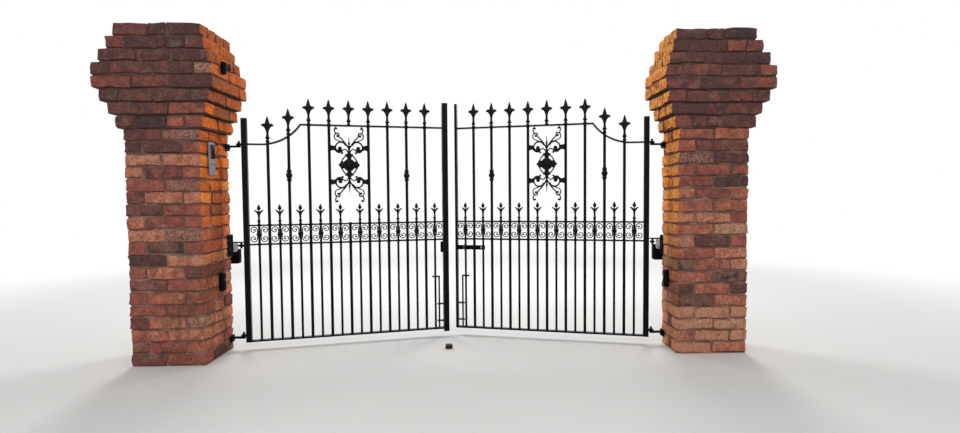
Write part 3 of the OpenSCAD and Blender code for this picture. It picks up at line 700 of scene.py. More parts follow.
# the mortar: a stepped core just behind the bricks
def pourMortar(name, bands, rules):
    recess, cell, wave = (rules[key] for key in ("recess", "mortarCell", "mortarWave"))
    points, faces, rings = [], [], []

    def addRing(low, high, z):
        corners = [low, (high[0], low[1]), high, (low[0], high[1])]
        start = len(points)
        for a, b, n in zip(corners, corners[1:] + corners[:1], (nx, ny, nx, ny)):
            points.extend(Vector((*(p + (q - p) * i / n for p, q in zip(a, b)), z)) for i in range(n))
        rings.append(range(start, len(points)))

    widest = max(bands, key=lambda b: b[3][0] - b[2][0])
    nx, ny = (max(4, round((widest[3][axis] - widest[2][axis]) / cell)) for axis in (0, 1))
    for i, (a, b, low, high) in enumerate(bands):
        low, high = [c + recess for c in low], [c - recess for c in high]
        wider = i > 0 and bands[i - 1][3][0] < bands[i][3][0]
        narrower = i + 1 < len(bands) and bands[i + 1][3][0] < bands[i][3][0]
        start = a + (recess if wider else 0)
        end = b - (recess if narrower or i + 1 == len(bands) and "Head" in name else 0)
        steps = max(1, round((end - start) / cell))
        for k in range(steps + 1):
            addRing(low, high, start + (end - start) * k / steps)
    for lower, upper in zip(rings, rings[1:]):
        for i in range(len(lower)):
            j = (i + 1) % len(lower)
            faces.append((lower[i], lower[j], upper[j], upper[i]))
    faces += [tuple(reversed(rings[0])), tuple(rings[-1])]
    # plain noise read at two places, since noise_vector gives other values in each run
    for i in range(rings[0][-1] + 1, rings[-1][0]):
        shift = [noise.noise(points[i] * 24 + Vector(place)) * wave for place in rules["wavePlaces"]]
        points[i] = points[i] + Vector((*shift, 0))
    return meshObject(name, points, faces, "limeMortar")


blockPoints, blockFaces, blockEdges = softBlock(
    [brickwork[key] for key in ("length", "depth", "height")], brickwork["chamfer"], (4, 1, 2))
sampleBrick = meshObject("sampleBrick", blockPoints, blockFaces, smooth=True)
edgeValues = sampleBrick.data.attributes.new("edge", "FLOAT", "POINT")
edgeValues.data.foreach_set("value", blockEdges)
for side in ("left", "right"):
    for part, startOdd in (("shaft", True), ("head", False)):
        nodeName = "%s_pier_%s" % (side, part)
        bands = readCourses(nodeName)
        bricks = layBricks(side + part.title() + "Bricks", nodeName, brickwork, bands, startOdd)
        belong(bricks, "gateway", "red_brick", nodeName)
        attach(pourMortar(side + part.title() + "Mortar", bands, brickwork), "gateway")
        print("%s: %d triangles" % (bricks.name, triangles(bricks)))
bpy.data.objects.remove(sampleBrick)


# sizes of the leaves, in metres along a leaf (u), across it (v) and up
leafFrame = {
    "pinX": 1.336, "pinY": 0.0495,
    "ajar": {"left": 12.4, "right": 13.7},
    "barZero": 0.045, "barStep": 0.063975,
    "neckU": 0.127, "neckZ": 1.63, "neckInner": 0.295, "neckEnd": 0.3762,
    "railTop": 1.468, "bandTop": 0.811, "bossHeight": 1.201,
    "collarHeight": 1.132, "scrollMid": 0.7465,
}


# a place on a leaf as it stands ajar
def onLeaf(side, u, v, z):
    turn = math.radians(leafFrame["ajar"][side])
    hand = -1 if side == "left" else 1
    x = hand * (leafFrame["pinX"] - u * math.cos(turn) + v * math.sin(turn))
    return Vector((x, leafFrame["pinY"] + u * math.sin(turn) + v * math.cos(turn), z))


def leafTurn(side):
    return math.radians(leafFrame["ajar"][side]) * (1 if side == "left" else -1)


def barAt(i):
    return leafFrame["barZero"] + i * leafFrame["barStep"]


# a list of parts, each (points, faces), as one
def gather(parts):
    points, faces = [], []
    for partPoints, partFaces in parts:
        start = len(points)
        points += [Vector(p) for p in partPoints]
        faces += [tuple(i + start for i in face) for face in partFaces]
    return points, faces


def mirrored(part, x=1, y=1, z=1):
    points = [Vector((p[0] * x, p[1] * y, p[2] * z)) for p in part[0]]
    faces = [tuple(reversed(face)) for face in part[1]] if x * y * z < 0 else part[1]
    return points, faces


def moved(part, shift):
    return [p + Vector(shift) for p in part[0]], part[1]


# a curve from a to c that is drawn towards b, in n steps
def curveRun(a, b, c, n):
    a, b, c = Vector(a), Vector(b), Vector(c)
    return [(1 - k / n) ** 2 * a + 2 * k / n * (1 - k / n) * b + (k / n) ** 2 * c for k in range(n + 1)]


# an arc between two angles in degrees
def arcRun(centre, r, start, end, n):
    turns = [math.radians(start + (end - start) * k / n) for k in range(n + 1)]
    return [Vector((centre[0] + r * math.cos(t), centre[1] + r * math.sin(t))) for t in turns]


# the same line with its points evenly apart
def evenRun(line, spacing, closed=False):
    line = [Vector(p) for p in line]
    if closed:
        line.append(line[0])
    lengths = [0]
    for a, b in zip(line, line[1:]):
        lengths.append(lengths[-1] + (b - a).length)
    count = max(2, round(lengths[-1] / spacing))
    made, at = [], 0
    for k in range(count + 1):
        wanted = lengths[-1] * k / count
        while at < len(lengths) - 2 and lengths[at + 1] < wanted:
            at += 1
        share = (wanted - lengths[at]) / max(lengths[at + 1] - lengths[at], 1e-9)
        made.append(line[at].lerp(line[at + 1], min(max(share, 0), 1)))
    return made[:-1] if closed else made


# a bar of rounded section along a line in the plane of the leaf, its width at start, middle and end
def sweptBar(line, widths, deep, sides=10, square=0.6):
    last = len(line) - 1
    points, faces = [], []
    for k, p in enumerate(line):
        ahead = (line[min(k + 1, last)] - line[max(k - 1, 0)]).normalized()
        across = Vector((-ahead.y, ahead.x))
        part, share = (0, k / last * 2) if k / last < 0.5 else (1, k / last * 2 - 1)
        width = widths[part] + (widths[part + 1] - widths[part]) * share
        for s in range(sides):
            c, d = (wave(2 * math.pi * s / sides) for wave in (math.cos, math.sin))
            at = p + across * (math.copysign(abs(c) ** square, c) * width / 2)
            points.append(Vector((at.x, math.copysign(abs(d) ** square, d) * deep / 2, at.y)))
    for k in range(last):
        for s in range(sides):
            a, b = k * sides + s, k * sides + (s + 1) % sides
            faces.append((a, b, b + sides, a + sides))
    for end, near, start, width in ((0, 1, 0, widths[0]), (last, last - 1, last * sides, widths[2])):
        tip = line[end] + (line[end] - line[near]).normalized() * min(width, deep) * 0.22
        points.append(Vector((tip.x, 0, tip.y)))
        for s in range(sides):
            pair = (start + s, start + (s + 1) % sides)
            faces.append((*(pair if end else reversed(pair)), len(points) - 1))
    return points, faces


# a body turned round z from its outline, or round y for bosses and balls
def turned(side, segments, axis="z", centre=(0, 0, 0)):
    points, faces, rings = [], [], []
    for r, h in side:
        if r < 1e-6:
            points.append(Vector((0, 0, h)))
            rings.append([len(points) - 1] * segments)
        else:
            start = len(points)
            turns = [2 * math.pi * s / segments for s in range(segments)]
            points += [Vector((r * math.cos(t), r * math.sin(t), h)) for t in turns]
            rings.append(list(range(start, start + segments)))
    for lower, upper in zip(rings, rings[1:]):
        for s in range(segments):
            face = [lower[s], lower[(s + 1) % segments], upper[(s + 1) % segments], upper[s]]
            face = [f for i, f in enumerate(face) if f not in face[:i]]
            if len(face) > 2:
                faces.append(tuple(face))
    if axis == "y":
        points = [Vector((p.x, -p.z, p.y)) for p in points]
    return [p + Vector(centre) for p in points], faces


def ball(r, deep, centre, rings=8, segments=16):
    side = [(r * math.cos(a), deep / 2 * math.sin(a)) for a in
            (math.pi * (k / rings - 0.5) for k in range(rings + 1))]
    side[0], side[-1] = (0, -deep / 2), (0, deep / 2)
    return turned(side, segments, "y", (centre[0], 0, centre[1]))


def ringBody(r, width, deep, centre, segments=28, sides=8):
    points, faces = [], []
    for s in range(segments):
        t = 2 * math.pi * s / segments
        for k in range(sides):
            a = 2 * math.pi * k / sides
            reach = r + width / 2 * math.cos(a)
            x, z = centre[0] + reach * math.cos(t), centre[1] + reach * math.sin(t)
            points.append(Vector((x, deep / 2 * math.sin(a), z)))
    for s in range(segments):
        for k in range(sides):
            a, b = s * sides + k, s * sides + (k + 1) % sides
            c = (s + 1) % segments * sides
            faces.append((a, c + k, c + (k + 1) % sides, b))
    return points, faces


# a flat casting from its outline: thickness(x, z) is how far its face stands out, and it is
# rolled off over the width of roll to a rim
def castPlate(outline, thickness, roll, rim, spacing, oneSided=False):
    outline = evenRun(outline, spacing, closed=True)
    n = len(outline)
    if sum(a.x * b.y - b.x * a.y for a, b in zip(outline, outline[1:] + outline[:1])) < 0:
        outline.reverse()
    edges = list(zip(outline, outline[1:] + outline[:1]))

    def toEdge(p):
        best = 1e9
        for a, b in edges:
            along = b - a
            share = min(max((p - a).dot(along) / along.length_squared, 0), 1)
            best = min(best, (p - a - along * share).length)
        return best

    def isInside(p):
        return sum((a.y > p.y) != (b.y > p.y) and p.x < (b.x - a.x) * (p.y - a.y) / (b.y - a.y) + a.x
                   for a, b in edges) % 2 == 1

    xs, ys = [p.x for p in outline], [p.y for p in outline]
    flat = list(outline)
    rowStep = spacing * 0.87
    columns = int((max(xs) - min(xs)) / spacing) + 2
    for j in range(int((max(ys) - min(ys)) / rowStep) + 1):
        for i in range(-columns // 2, columns // 2 + 1):
            p = Vector(((max(xs) + min(xs)) / 2 + (i + (j % 2) * 0.5) * spacing,
                        min(ys) + rowStep * 0.5 + j * rowStep))
            if isInside(p) and toEdge(p) > spacing * 0.45:
                flat.append(p)
    made = delaunay_2d_cdt(flat, [], [list(range(n))], 1, 1e-6)
    flat, triangleList, origins = made[0], made[2], made[3]
    heights = []
    for p, origin in zip(flat, origins):
        share = 0 if any(o < n for o in origin) else min(toEdge(p) / roll, 1)
        swell = max(thickness(p.x, p.y), rim / 2) - rim / 2 if share else 0
        heights.append(rim / 2 + swell * math.sqrt(1 - (1 - share) ** 2))
    count = len(flat)
    points = [Vector((p.x, -h, p.y)) for p, h in zip(flat, heights)]
    points += [Vector((p.x, 0 if oneSided else h, p.y)) for p, h in zip(flat, heights)]
    faces, used = [], {}
    for face in triangleList:
        a, b, c = (flat[i] for i in face)
        face = tuple(face[::-1] if (b - a).cross(c - a) < 0 else face)
        faces += [face, tuple(i + count for i in reversed(face))]
        used.update(dict.fromkeys(zip(face, face[1:] + face[:1])))
    faces += [(b, a, a + count, b + count) for a, b in used if (b, a) not in used]
    return points, faces


# taper: height from which a head thins, over what length and by how much; leaf: height at which
# the raised leaf starts, its length, the power of its outline, its rise and the power of its swell
heads = {
    "tall": {"height": 166, "half": 38.5, "stem": 8.17, "ball": 14.3, "neck": 0.48,
             "taper": (0.7, 0.3, 0.75), "leaf": (0.36, 0.56, 0.8, 1.7, 1),
             "roll": 5.0, "rim": 2.2, "spacing": 2.6},
    "dog": {"height": 131, "half": 29, "stem": 6.45, "ball": 10.97, "neck": 0.44,
            "taper": (0.78, 0.22, 0.6), "leaf": (0.68, 0.3, 0.7, 1.6, 0.5),
            "roll": 4.0, "rim": 1.8, "spacing": 2.6 * 0.85},
    "overNeck": 0.008,
}


# foot, waist, ball and neck of a head
def headFoot(h, r, stem, top):
    side = [(0, 0.3), (r * 0.92, 0.3), (r * 0.93, h * 0.012), (r * 0.86, h * 0.03), (stem * 1.25, h * 0.055),
            (stem * 1.04, h * 0.07), (stem * 0.98, h * 0.085), (stem * 1.05, h * 0.1),
            (stem * 1.35, h * 0.112), (r * 0.8, h * 0.122), (r * 0.94, h * 0.136), (r, h * 0.15),
            (r, h * 0.166), (r * 0.95, h * 0.178), (r * 0.84, h * 0.192), (r * 0.72, h * 0.21),
            (r * 0.62, h * 0.232), (stem * 1.02, h * 0.262), (stem * 0.96, h * 0.29),
            (stem * 0.94, top - h * 0.08), (stem * 0.6, top), (0, top)]
    return turned(side, 24)


# large head: barbs reach out level and droop at their tips
def tallSide(h, half, stem):
    side = [Vector((stem * 0.8, h * 0.33))]
    side += curveRun((stem, h * 0.38), (stem * 1.3, h * 0.49), (half * 0.54, h * 0.572), 8)
    side += [Vector((half * a, h * b)) for a, b in ((0.73, 0.606), (0.86, 0.614), (0.94, 0.62), (1, 0.64))]
    side += curveRun((half * 0.985, h * 0.665), (half * 0.8, h * 0.724), (half * 0.39, h * 0.72), 8)[:-1]
    side += curveRun((half * 0.39, h * 0.725), (half * 0.26, h * 0.85), (half * 0.1, h * 0.965), 8)
    return side + [Vector((half * 0.04, h * 0.998))]


# dog bar head: a bud between two curved barbs
def dogSide(h, half, stem):
    side = [Vector((stem * 0.8, h * 0.29))]
    side += curveRun((stem, h * 0.38), (stem * 1.15, h * 0.54), (half * 0.57, h * 0.59), 8)
    shape = ((0.76, 0.652), (0.88, 0.668), (0.96, 0.68), (1, 0.704), (0.97, 0.722), (0.88, 0.727),
             (0.72, 0.72), (0.58, 0.708), (0.43, 0.69), (0.3, 0.668), (0.2, 0.65), (0.13, 0.645),
             (0.11, 0.67), (0.12, 0.7), (0.24, 0.722), (0.34, 0.745), (0.39, 0.77), (0.41, 0.795),
             (0.39, 0.825), (0.33, 0.856), (0.27, 0.89), (0.2, 0.925), (0.12, 0.965), (0.04, 0.998))
    return side + [Vector((half * a, h * b)) for a, b in shape]


# a cast head on its foot, from the right side of its outline
def castHead(look, outlineSide):
    h, half, stem = look["height"], look["half"], look["stem"]
    thinFrom, thinOver, thinBy = look["taper"]
    leafFrom, leafOver, bow, rise, swell = look["leaf"]

    def thickness(x, z):
        x, z = abs(x), z / h
        body = stem * 1.05 * (1 - x / (half * 1.6))
        body *= 1 - max(0, z - thinFrom) / thinOver * thinBy
        leaf = half * 0.3 * math.sin(math.pi * min(max((z - leafFrom) / leafOver, 0), 1)) ** bow
        return body + rise * (1 - (x / leaf) ** 2) ** swell if x < leaf else body

    side = outlineSide(h, half, stem)
    outline = side + [Vector((-p.x, p.y)) for p in reversed(side)]
    return gather([headFoot(h, look["ball"], stem, h * look["neck"]),
                   castPlate(outline, thickness, look["roll"], look["rim"], look["spacing"])])


# radii of a C scroll's three arcs from its back to its eye, and the outline of its ring
scrollRules = {"strip": 7, "deep": 9, "start": 11.5, "outer": 19.45, "middle": 14.0, "inner": 4.85,
               "half": 28.5, "ring": [(9.2, -12.5), (12.3, -12.3), (12.9, -9), (14.6, -6.6), (16.6, -4.6),
                                      (17.8, -1.6), (18, 1.2), (17.2, 3.8), (15.6, 5.8), (13.4, 7.2),
                                      (12.4, 8.4), (9.2, 8.5)]}


# a pair of C scrolls joined by a ring round its dog bar
def scrollPair(rules):
    x, r, mid, inner, half = (rules[k] for k in ("start", "outer", "middle", "inner", "half"))
    curl = arcRun((x + r, half), r, 180, 0, 20)
    curl += arcRun((x + 2 * r - mid, half), mid, 0, -180, 16)[1:]
    curl += arcRun((x + 2 * r - 2 * mid + inner, half), inner, 180, 20, 8)[1:]
    line = [Vector((p.x, -p.y)) for p in reversed(curl)] + curl
    line = evenRun(line, 3.6)
    strip = sweptBar(line, (rules["strip"] * 0.8, rules["strip"], rules["strip"] * 0.8), rules["deep"], 8)
    eye = curl[-1]
    parts = [strip] + [ball(5.3, rules["deep"] + 2.4, (eye.x, sign * eye.y), 6, 12) for sign in (1, -1)]
    parts += [mirrored(part, x=-1) for part in parts]
    parts.append(turned(rules["ring"], 24))
    return gather(parts)


# outline of a cast collar, (radius, height) from its middle
collarSide = [(9.75, -45), (10.6, -43), (12.6, -38), (14.8, -34), (16.6, -31), (17.1, -29.4), (16.9, -28),
              (15, -26), (13.5, -24.4), (12.6, -22), (13.2, -20), (14.6, -18), (16.6, -14), (18.6, -10),
              (20.2, -6), (21, -2.4), (20.9, 1), (20.1, 4), (18.5, 8), (16.4, 12), (14.5, 16),
              (13.6, 18.6), (14, 20.2), (15.6, 21.8), (17, 23), (17.4, 24.6), (17, 26.3), (15.4, 30),
              (13.4, 34), (11.8, 38), (10.6, 42), (9.75, 43)]


# reach: half the ornament's width; outlines in millimetres from its boss
ornamentLook = {
    "deep": 9, "reach": 123.95, "petals": 8, "petalRadius": 29, "hanger": 84,
    "spike": [(8, 70), (6.5, 90), (6.5, 104), (9.5, 116), (5.5, 126), (4.2, 132), (7.8, 143), (4, 153),
              (2.8, 168), (1, 190)],
    "crown": [(14, 34), (14, 50), (20, 57), (26, 62), (28, 68), (25.5, 72.5), (18, 73), (13, 77), (9.5, 84),
              (8, 91)],
    "leaf": [(36, -22), (36, 22), (47, 29), (55, 24), (60, 14), (66, 6), (73, 0), (66, -6), (60, -14),
             (55, -24), (47, -29)],
    "plate": [(0, -5.6), (37, -5.6), (40, -4.6), (41, -2.4), (41, 2.4), (40, 4.6), (37, 5.6), (0, 5.6)],
    "dome": [(25, 0.6), (24.2, 2), (23, 3.2), (21.2, 3.6), (20, 3.4), (18.6, 5.2), (16, 7.2), (12.6, 9),
             (8.6, 10.2), (4.4, 10.9), (0, 11)],  # height above the casting's own face
}


# upper right quarter of the ornament, measured from its boss, in millimetres
def ornamentQuarter(look):
    t, reach = look["deep"], look["reach"]
    flat = lambda thick: (lambda x, z: thick / 2)
    parts = [
        sweptBar(curveRun((3, 112), (28, 157), (67, 193), 22), (11, 10, 9), t),
        ball(9, t + 4, (73.5, 193.5)),
        sweptBar(arcRun((74, 201), 11, 25, 210, 18), (8.5, 10, 8.5), t + 1),
        sweptBar(evenRun(curveRun((83, 207), (93.5, 222), (93, 237), 8)
                         + curveRun((91.5, 244), (88, 248.5), (81, 246), 6), 2.4), (8, 9, 8), t - 1),
        ball(7.5, t + 3, (80.5, 242.5)),
        sweptBar(evenRun(curveRun((84, 210), (95.5, 201), (95, 189), 6)
                         + curveRun((93, 175), (79, 163), (34, 150), 14)[1:], 3), (9, 7, 9.5), t - 2),
        sweptBar(arcRun((53, 117), 35, -20, 135, 26), (10, 10.5, 10), t + 0.5),
        castPlate([(14, 126), (26, 128.5), (32.5, 137.5), (27, 146), (20, 141)], flat(t + 1.5), 4, 5, 2.4),
        castPlate([(98, 98), (92, 94.5), (86, 89), (80, 83.5), (74, 80), (67, 78.5), (60, 79.5), (50, 82),
                   (46, 88), (43, 95), (45, 103), (50, 109), (68, 108), (75, 103), (78.5, 102.5),
                   (82, 110), (90, 116), (98, 112)], flat(t + 3), 7, 4, 2.6),
        ringBody(9, 9, t + 3.5, (59.5, 110)),
        ball(5.5, t - 1, (59.5, 110), 6, 12),
        ball(8, t + 5, (45, 80)),
        sweptBar(evenRun(curveRun((4, 80), (15, 107), (30, 105), 10)
                         + [Vector((38, 101.5)), Vector((47, 92))], 3), (9, 8, 9), t - 0.5),
        castPlate([(90, 98.5), (104, 98.5), (112, 96), (reach, 92), (reach, 135), (112, 131), (104, 128.5),
                   (90, 128.5)],
                  flat(t + 1), 3, 6, 3),
        sweptBar(curveRun((22, 61), (42, 45), (51, 16), 18), (9, 9, 9), t - 1.5),
        sweptBar(evenRun(curveRun((55, 88), (66, 92), (80, 104), 8), 3), (3, 4, 3), t + 6),
    ]
    for z in (103.5, 113.5, 123.5):
        line = [Vector((92 + (reach - 100) * k / 8, z)) for k in range(9)]
        parts.append(sweptBar(line, (4, 5, 4), t + 4))
    return parts


def ornament(look):
    t = look["deep"]
    parts = [mirrored(part, x, 1, z) for part in ornamentQuarter(look) for x in (1, -1) for z in (1, -1)]
    both = lambda side: side + [(-x, z) for x, z in reversed(side)]
    spike = castPlate(both(look["spike"]), lambda x, z: 6.2 - abs(x) * 0.35, 4.5, 2.5, 2.4)
    crown = castPlate(both(look["crown"]), lambda x, z: 7.2 - abs(x) * 0.08, 6, 4, 2.8)
    leaf = castPlate(look["leaf"], lambda x, z: 7.4 - abs(z) * 0.14, 7, 4, 2.8)
    for z in (1, -1):
        parts += [mirrored(spike, z=z), mirrored(crown, z=z)]
    for x in (1, -1):
        parts.append(mirrored(leaf, x=x))
        line = [Vector((x * look["hanger"], z)) for z in (246, 250, 254, 257)]
        parts.append(sweptBar(line, (7, 7, 7), 7, 12, 1))
    parts.append(turned(look["plate"], 56, "y"))
    for k in range(look["petals"]):
        petal = arcRun((0, 0), look["petalRadius"], 360 / look["petals"] * (k + 0.5), 0, 1)[0]
        parts.append(ball(9, t + 8.5, petal, 8, 14))
    dome = turned([(25, 4)] + [(r, t / 2 + h) for r, h in look["dome"]], 36, "y")
    return gather(parts + [mirrored(dome, y=-1), dome])


def sampleOf(name, part, smooth=True):
    return meshObject(name, [p * 0.001 for p in part[0]], part[1], smooth=smooth)


# height of the top rail's upper face above a bar, and of what stands there on the swan neck
def railAbove(i, onNeck=0):
    f, u = leafFrame, barAt(i)
    if u > f["neckEnd"]:
        return f["railTop"]
    return f["neckZ"] - math.sqrt(f["neckInner"] ** 2 - (u - f["neckU"]) ** 2) + onNeck


# copies of a casting on the bars of a leaf: (bar, height, turn) of each
def castOn(side, kind, sample, places, *nodes, **settings):
    spots = [spot(onLeaf(side, barAt(i), 0, z), turn) for i, z, turn in places]
    piece = repeat(side + kind, sample, spots, "blackCasting", **settings)
    return belong(piece, side + "_leaf", "black_castings", *["%s_%s" % (side, node) for node in nodes])


# pattern, CAD node that it replaces, and the bars that carry it with their heights
tallBars, dogBars = range(2, 19, 2), range(1, 20, 2)
castings = {
    "TallHeads": (castHead(heads["tall"], tallSide), "spearheads",
                  {i: railAbove(i, heads["overNeck"]) for i in tallBars}),
    "DogHeads": (castHead(heads["dog"], dogSide), "spearheads",
                 dict.fromkeys(dogBars, leafFrame["bandTop"])),
    "Scrolls": (scrollPair(scrollRules), "band_scrolls", dict.fromkeys(dogBars, leafFrame["scrollMid"])),
    "Collars": (turned(collarSide, 32), "bar_collars", dict.fromkeys((4, 16), leafFrame["collarHeight"])),
    "Ornament": (ornament(ornamentLook), "ornament", {10: leafFrame["bossHeight"]}),
}
samples = {kind: sampleOf(kind + "Sample", casting[0]) for kind, casting in castings.items()}
for side in ("left", "right"):
    for kind, casting in castings.items():
        replaced, heights = casting[1:]
        places = [(i, z, (0, 0, leafTurn(side))) for i, z in heights.items()]
        piece = castOn(side, kind, samples[kind], places, replaced)
        print("%s: %d triangles" % (piece.name, triangles(piece)))

# short lengths of bar that carry two heads over the swan neck
neckStub = [(0, -14), (9.3, -14), (9.5, -12), (9.5, 4.5), (10.6, 6), (10.6, 8), (9.4, 9), (0, 9)]
samples["NeckStubs"] = sampleOf("stubSample", turned(neckStub, 20))
for side in ("left", "right"):
    castOn(side, "NeckStubs", samples["NeckStubs"], [(i, railAbove(i), (0, 0, 0)) for i in (2, 4)])


# fillets of weld round the bars, in millimetres: above a rail, and below one
welds = {
    "tallRadius": 9.5, "dogRadius": 7.5, "reach": 3.2,
    "above": (55, 687), "below": (677, 801), "aboveTall": (811,),
    "turn": 0.03, "wobble": 0.0016, "grain": 140.0,
}


def weldSide(radius, reach):
    return [(radius - 0.4, -0.4), (radius + reach, -0.4), (radius + reach * 0.9, reach * 0.35),
            (radius + reach * 0.45, reach * 0.8), (radius, reach * 1.25), (radius - 0.4, reach * 1.3)]


for kind in ("tall", "dog"):
    ring = weldSide(welds[kind + "Radius"], welds["reach"])
    samples[kind] = sampleOf(kind + "WeldSample", turned(ring + [ring[0]], 14))
for side in ("left", "right"):
    for kind, bars in (("tall", tallBars), ("dog", dogBars)):
        levels = [(z, 0) for z in welds["above"]] + [(z, math.pi) for z in welds["below"]]
        if kind == "tall":
            levels += [(z, 0) for z in welds["aboveTall"]]
        places = [(i, z * 0.001, (flip, 0, 0)) for i in bars for z, flip in levels]
        piece = castOn(side, kind.title() + "Welds", samples[kind], places, Turn=welds["turn"],
                       Wobble=welds["wobble"], Grain=welds["grain"])
        print("%s: %d triangles" % (piece.name, triangles(piece)))
for sample in samples.values():
    bpy.data.objects.remove(sample)


facing = {"street": 0.0, "right": math.pi / 2, "left": -math.pi / 2}


# a fitting modelled facing the street, in millimetres, turned to look another way
def fitting(name, part, finish, place, way, slot, *nodes, body="gateway"):
    spin = Matrix.Rotation(facing[way], 3, "Z")
    points = [(spin @ Vector(p) + Vector(place)) * 0.001 for p in part[0]]
    return belong(meshObject(name, points, part[1], finish, smooth=True), body, slot, *nodes)


def roundedOutline(x0, z0, x1, z1, *radii):
    line = []
    for x, z, start, r in zip((x0, x1, x1, x0), (z0, z0, z1, z1), (180, 270, 0, 90), radii):
        centre = (x + (r if x == x0 else -r), z + (r if z == z0 else -r))
        line += arcRun(centre, r, start, start + 90, 6)
    return line


# centre of each photocell's back on the pier's inner face
photocell = {
    "left": (-1411, -80.5, 464), "right": (1411, -35.5, 447),
    "width": 44, "height": 112, "depth": 26, "lens": 9,
}


def photocellParts(look):
    w, h, deep, r = look["width"] / 2, look["height"] / 2, look["depth"], look["lens"]
    bulge = lambda x, z: deep - 2 * (x / w) ** 2 - 2.5 * (z / h) ** 4
    body = castPlate(roundedOutline(-w, -h, w, h, 8, 8, 8, 8), bulge, 7, 38, 5, oneSided=True)
    return body, turned([(0, 0), (r, 0), (r, 1.2), (r * 0.8, 2.2), (0, 2.6)], 24, "y", (0, 0.6 - deep, 14))


photocellBody, photocellLens = photocellParts(photocell)
for side, way in (("left", "right"), ("right", "left")):
    fitting(side + "PhotocellBody", photocellBody, "blackPlastic", photocell[side], way,
            "black_plastic", "photocells")
    fitting(side + "PhotocellLens", photocellLens, "darkLens", photocell[side], way, "black_plastic")


# lamp on the left head: tapering body, sensor on its own small arm
pierLamp = {"at": (-1317, -187, 1765), "sensorAt": (-1317, -117, 1777), "linkAt": (-1309, -152, 1752)}


def lampParts():
    outline = [(-19, 22), (17, 22), (19, 18), (18, 0), (14, -30), (10, -46), (7, -49), (-9, -49),
               (-13, -46), (-17, -30), (-19, 0)]
    body = castPlate(outline, lambda x, z: 29 - 8 * max(0, -z) / 49, 6, 30, 4.5, oneSided=True)
    shell = roundedOutline(-24, -20, 24, 22, 8, 8, 6, 6)
    sensor = castPlate(shell, lambda x, z: 15 - 0.004 * x * x, 6, 16, 5, oneSided=True)
    eye = moved(ball(12, 14, (0, -9), 8, 20), (0, -12, 0))
    link = sweptBar([Vector((-27 + 6 * k, 4 - abs(k - 5) * 0.6)) for k in range(11)], (13, 12, 13), 8, 12)
    return body, sensor, eye, link


lampBody, lampSensor, lampEye, lampLink = lampParts()
fitting("lampBody", lampBody, "blackPlastic", pierLamp["at"], "right", "black_plastic", "pier_lamp")
fitting("lampSensor", lampSensor, "sensorShell", pierLamp["sensorAt"], "right", "black_plastic")
fitting("lampEye", lampEye, "sensorShell", pierLamp["sensorAt"], "right", "black_plastic")
fitting("lampLink", lampLink, "blackPlastic", pierLamp["linkAt"], "right", "black_plastic")


# intercom: a slim panel with softly rolled edges, window, dome and call button
intercom = {
    "at": (-1409, -163.5, 1221), "width": 66, "height": 200, "depth": 11, "seams": (-31, -36.5),
    "window": (25, 44), "windowAt": (0, -10.6, 41), "domeAt": (0, -13.6, 66), "buttonAt": (0, -13.6, 12),
}


def levelBar(reach, z, width, deep):
    line = [Vector((-reach + 2 * reach * k / 6, z)) for k in range(7)]
    return sweptBar(line, (width, width, width), deep, 8)


def intercomParts(look):
    w, h, deep = look["width"] / 2, look["height"] / 2, look["depth"]
    outline = roundedOutline(-w, -h, w, h, 5, 5, 12, 12)
    panel = castPlate(outline, lambda x, z: deep, 6, 10, 5.5, oneSided=True)
    # dark raised strips paint the shade of two seam grooves
    seams = gather([moved(levelBar(w - 5, z, 1.5, 1.4), (0, -deep, 0)) for z in look["seams"]])
    x, z = look["window"]
    pane = roundedOutline(-x, -z, x, z, 7, 7, 10, 10)
    glass = castPlate(pane, lambda x, z: 3.4, 3, 3.6, 4, oneSided=True)
    domeSide = [(0, 0), (13, 0), (13, 0.8), (11.5, 3), (8, 5), (4, 6), (0, 6.3)]
    dome = turned(domeSide, 28, "y", look["domeAt"])
    button = turned([(0, 0), (8, 0), (8, 0.7), (7, 1.2), (0, 1.3)], 28, "y", look["buttonAt"])
    return [
        ("intercomBody", panel, "greyPanel", "grey_panel", "intercom_panel"),
        ("intercomSeams", seams, "blackPlastic", "black_plastic"),
        ("intercomGlass", moved(glass, look["windowAt"]), "darkLens", "grey_panel", "intercom_lens"),
        ("intercomDome", dome, "darkLens", "black_plastic"),
        ("intercomButton", button, "blackPlastic", "black_plastic"),
    ]


for name, part, finish, slot, *nodes in intercomParts(intercom):
    fitting(name, part, finish, intercom["at"], "right", slot, *nodes)


# operators: pale castings with ribs, dark covers with soft corners under them; each by its
# low x, low z, high x and high z, and by its middle and depth along y
operator = {
    "left": {"casting": (-1450, 630, -1388, 687), "cover": (-1463, 549, -1388, 646)},
    "right": {"casting": (1388, 622, 1446, 687), "cover": (1378, 545, 1452, 650)},
    "castingMiddle": 106, "castingDeep": 32, "coverMiddle": 147.5, "coverDeep": 50, "ribs": 4,
}


def operatorCasting(w, h):
    deep = operator["castingDeep"] / 2
    parts = [castPlate(roundedOutline(-w, -h, w, h, 16, 16, 9, 9), lambda x, z: deep, 8, deep * 1.1, 4.5)]
    cap = [(0, 0), (17, 0), (17, 3), (15.5, 5), (11, 6), (10, 8), (0, 8.4)]
    parts.append(turned(cap, 32, "y", (0, 5.4 - deep, 6)))
    for k in range(operator["ribs"]):
        parts.append(moved(levelBar(w * 0.72, -h * 0.72 + k * 3.2, 1.6, 2.4), (0, -deep, 0)))
    return gather(parts)


def operatorCover(w, h):
    deep = operator["coverDeep"] / 2
    outline = roundedOutline(-w, -h, w, h, 14, 14, 6, 6)
    body = castPlate(outline, lambda x, z: deep - 0.0012 * x * x, 9, deep * 1.2, 5)
    lip = roundedOutline(3 - w, h - 9, w - 3, h - 6.4, 1, 1, 1, 1)
    return gather([body, castPlate(lip, lambda x, z: deep + 1.1, 1.2, deep * 2, 3)])


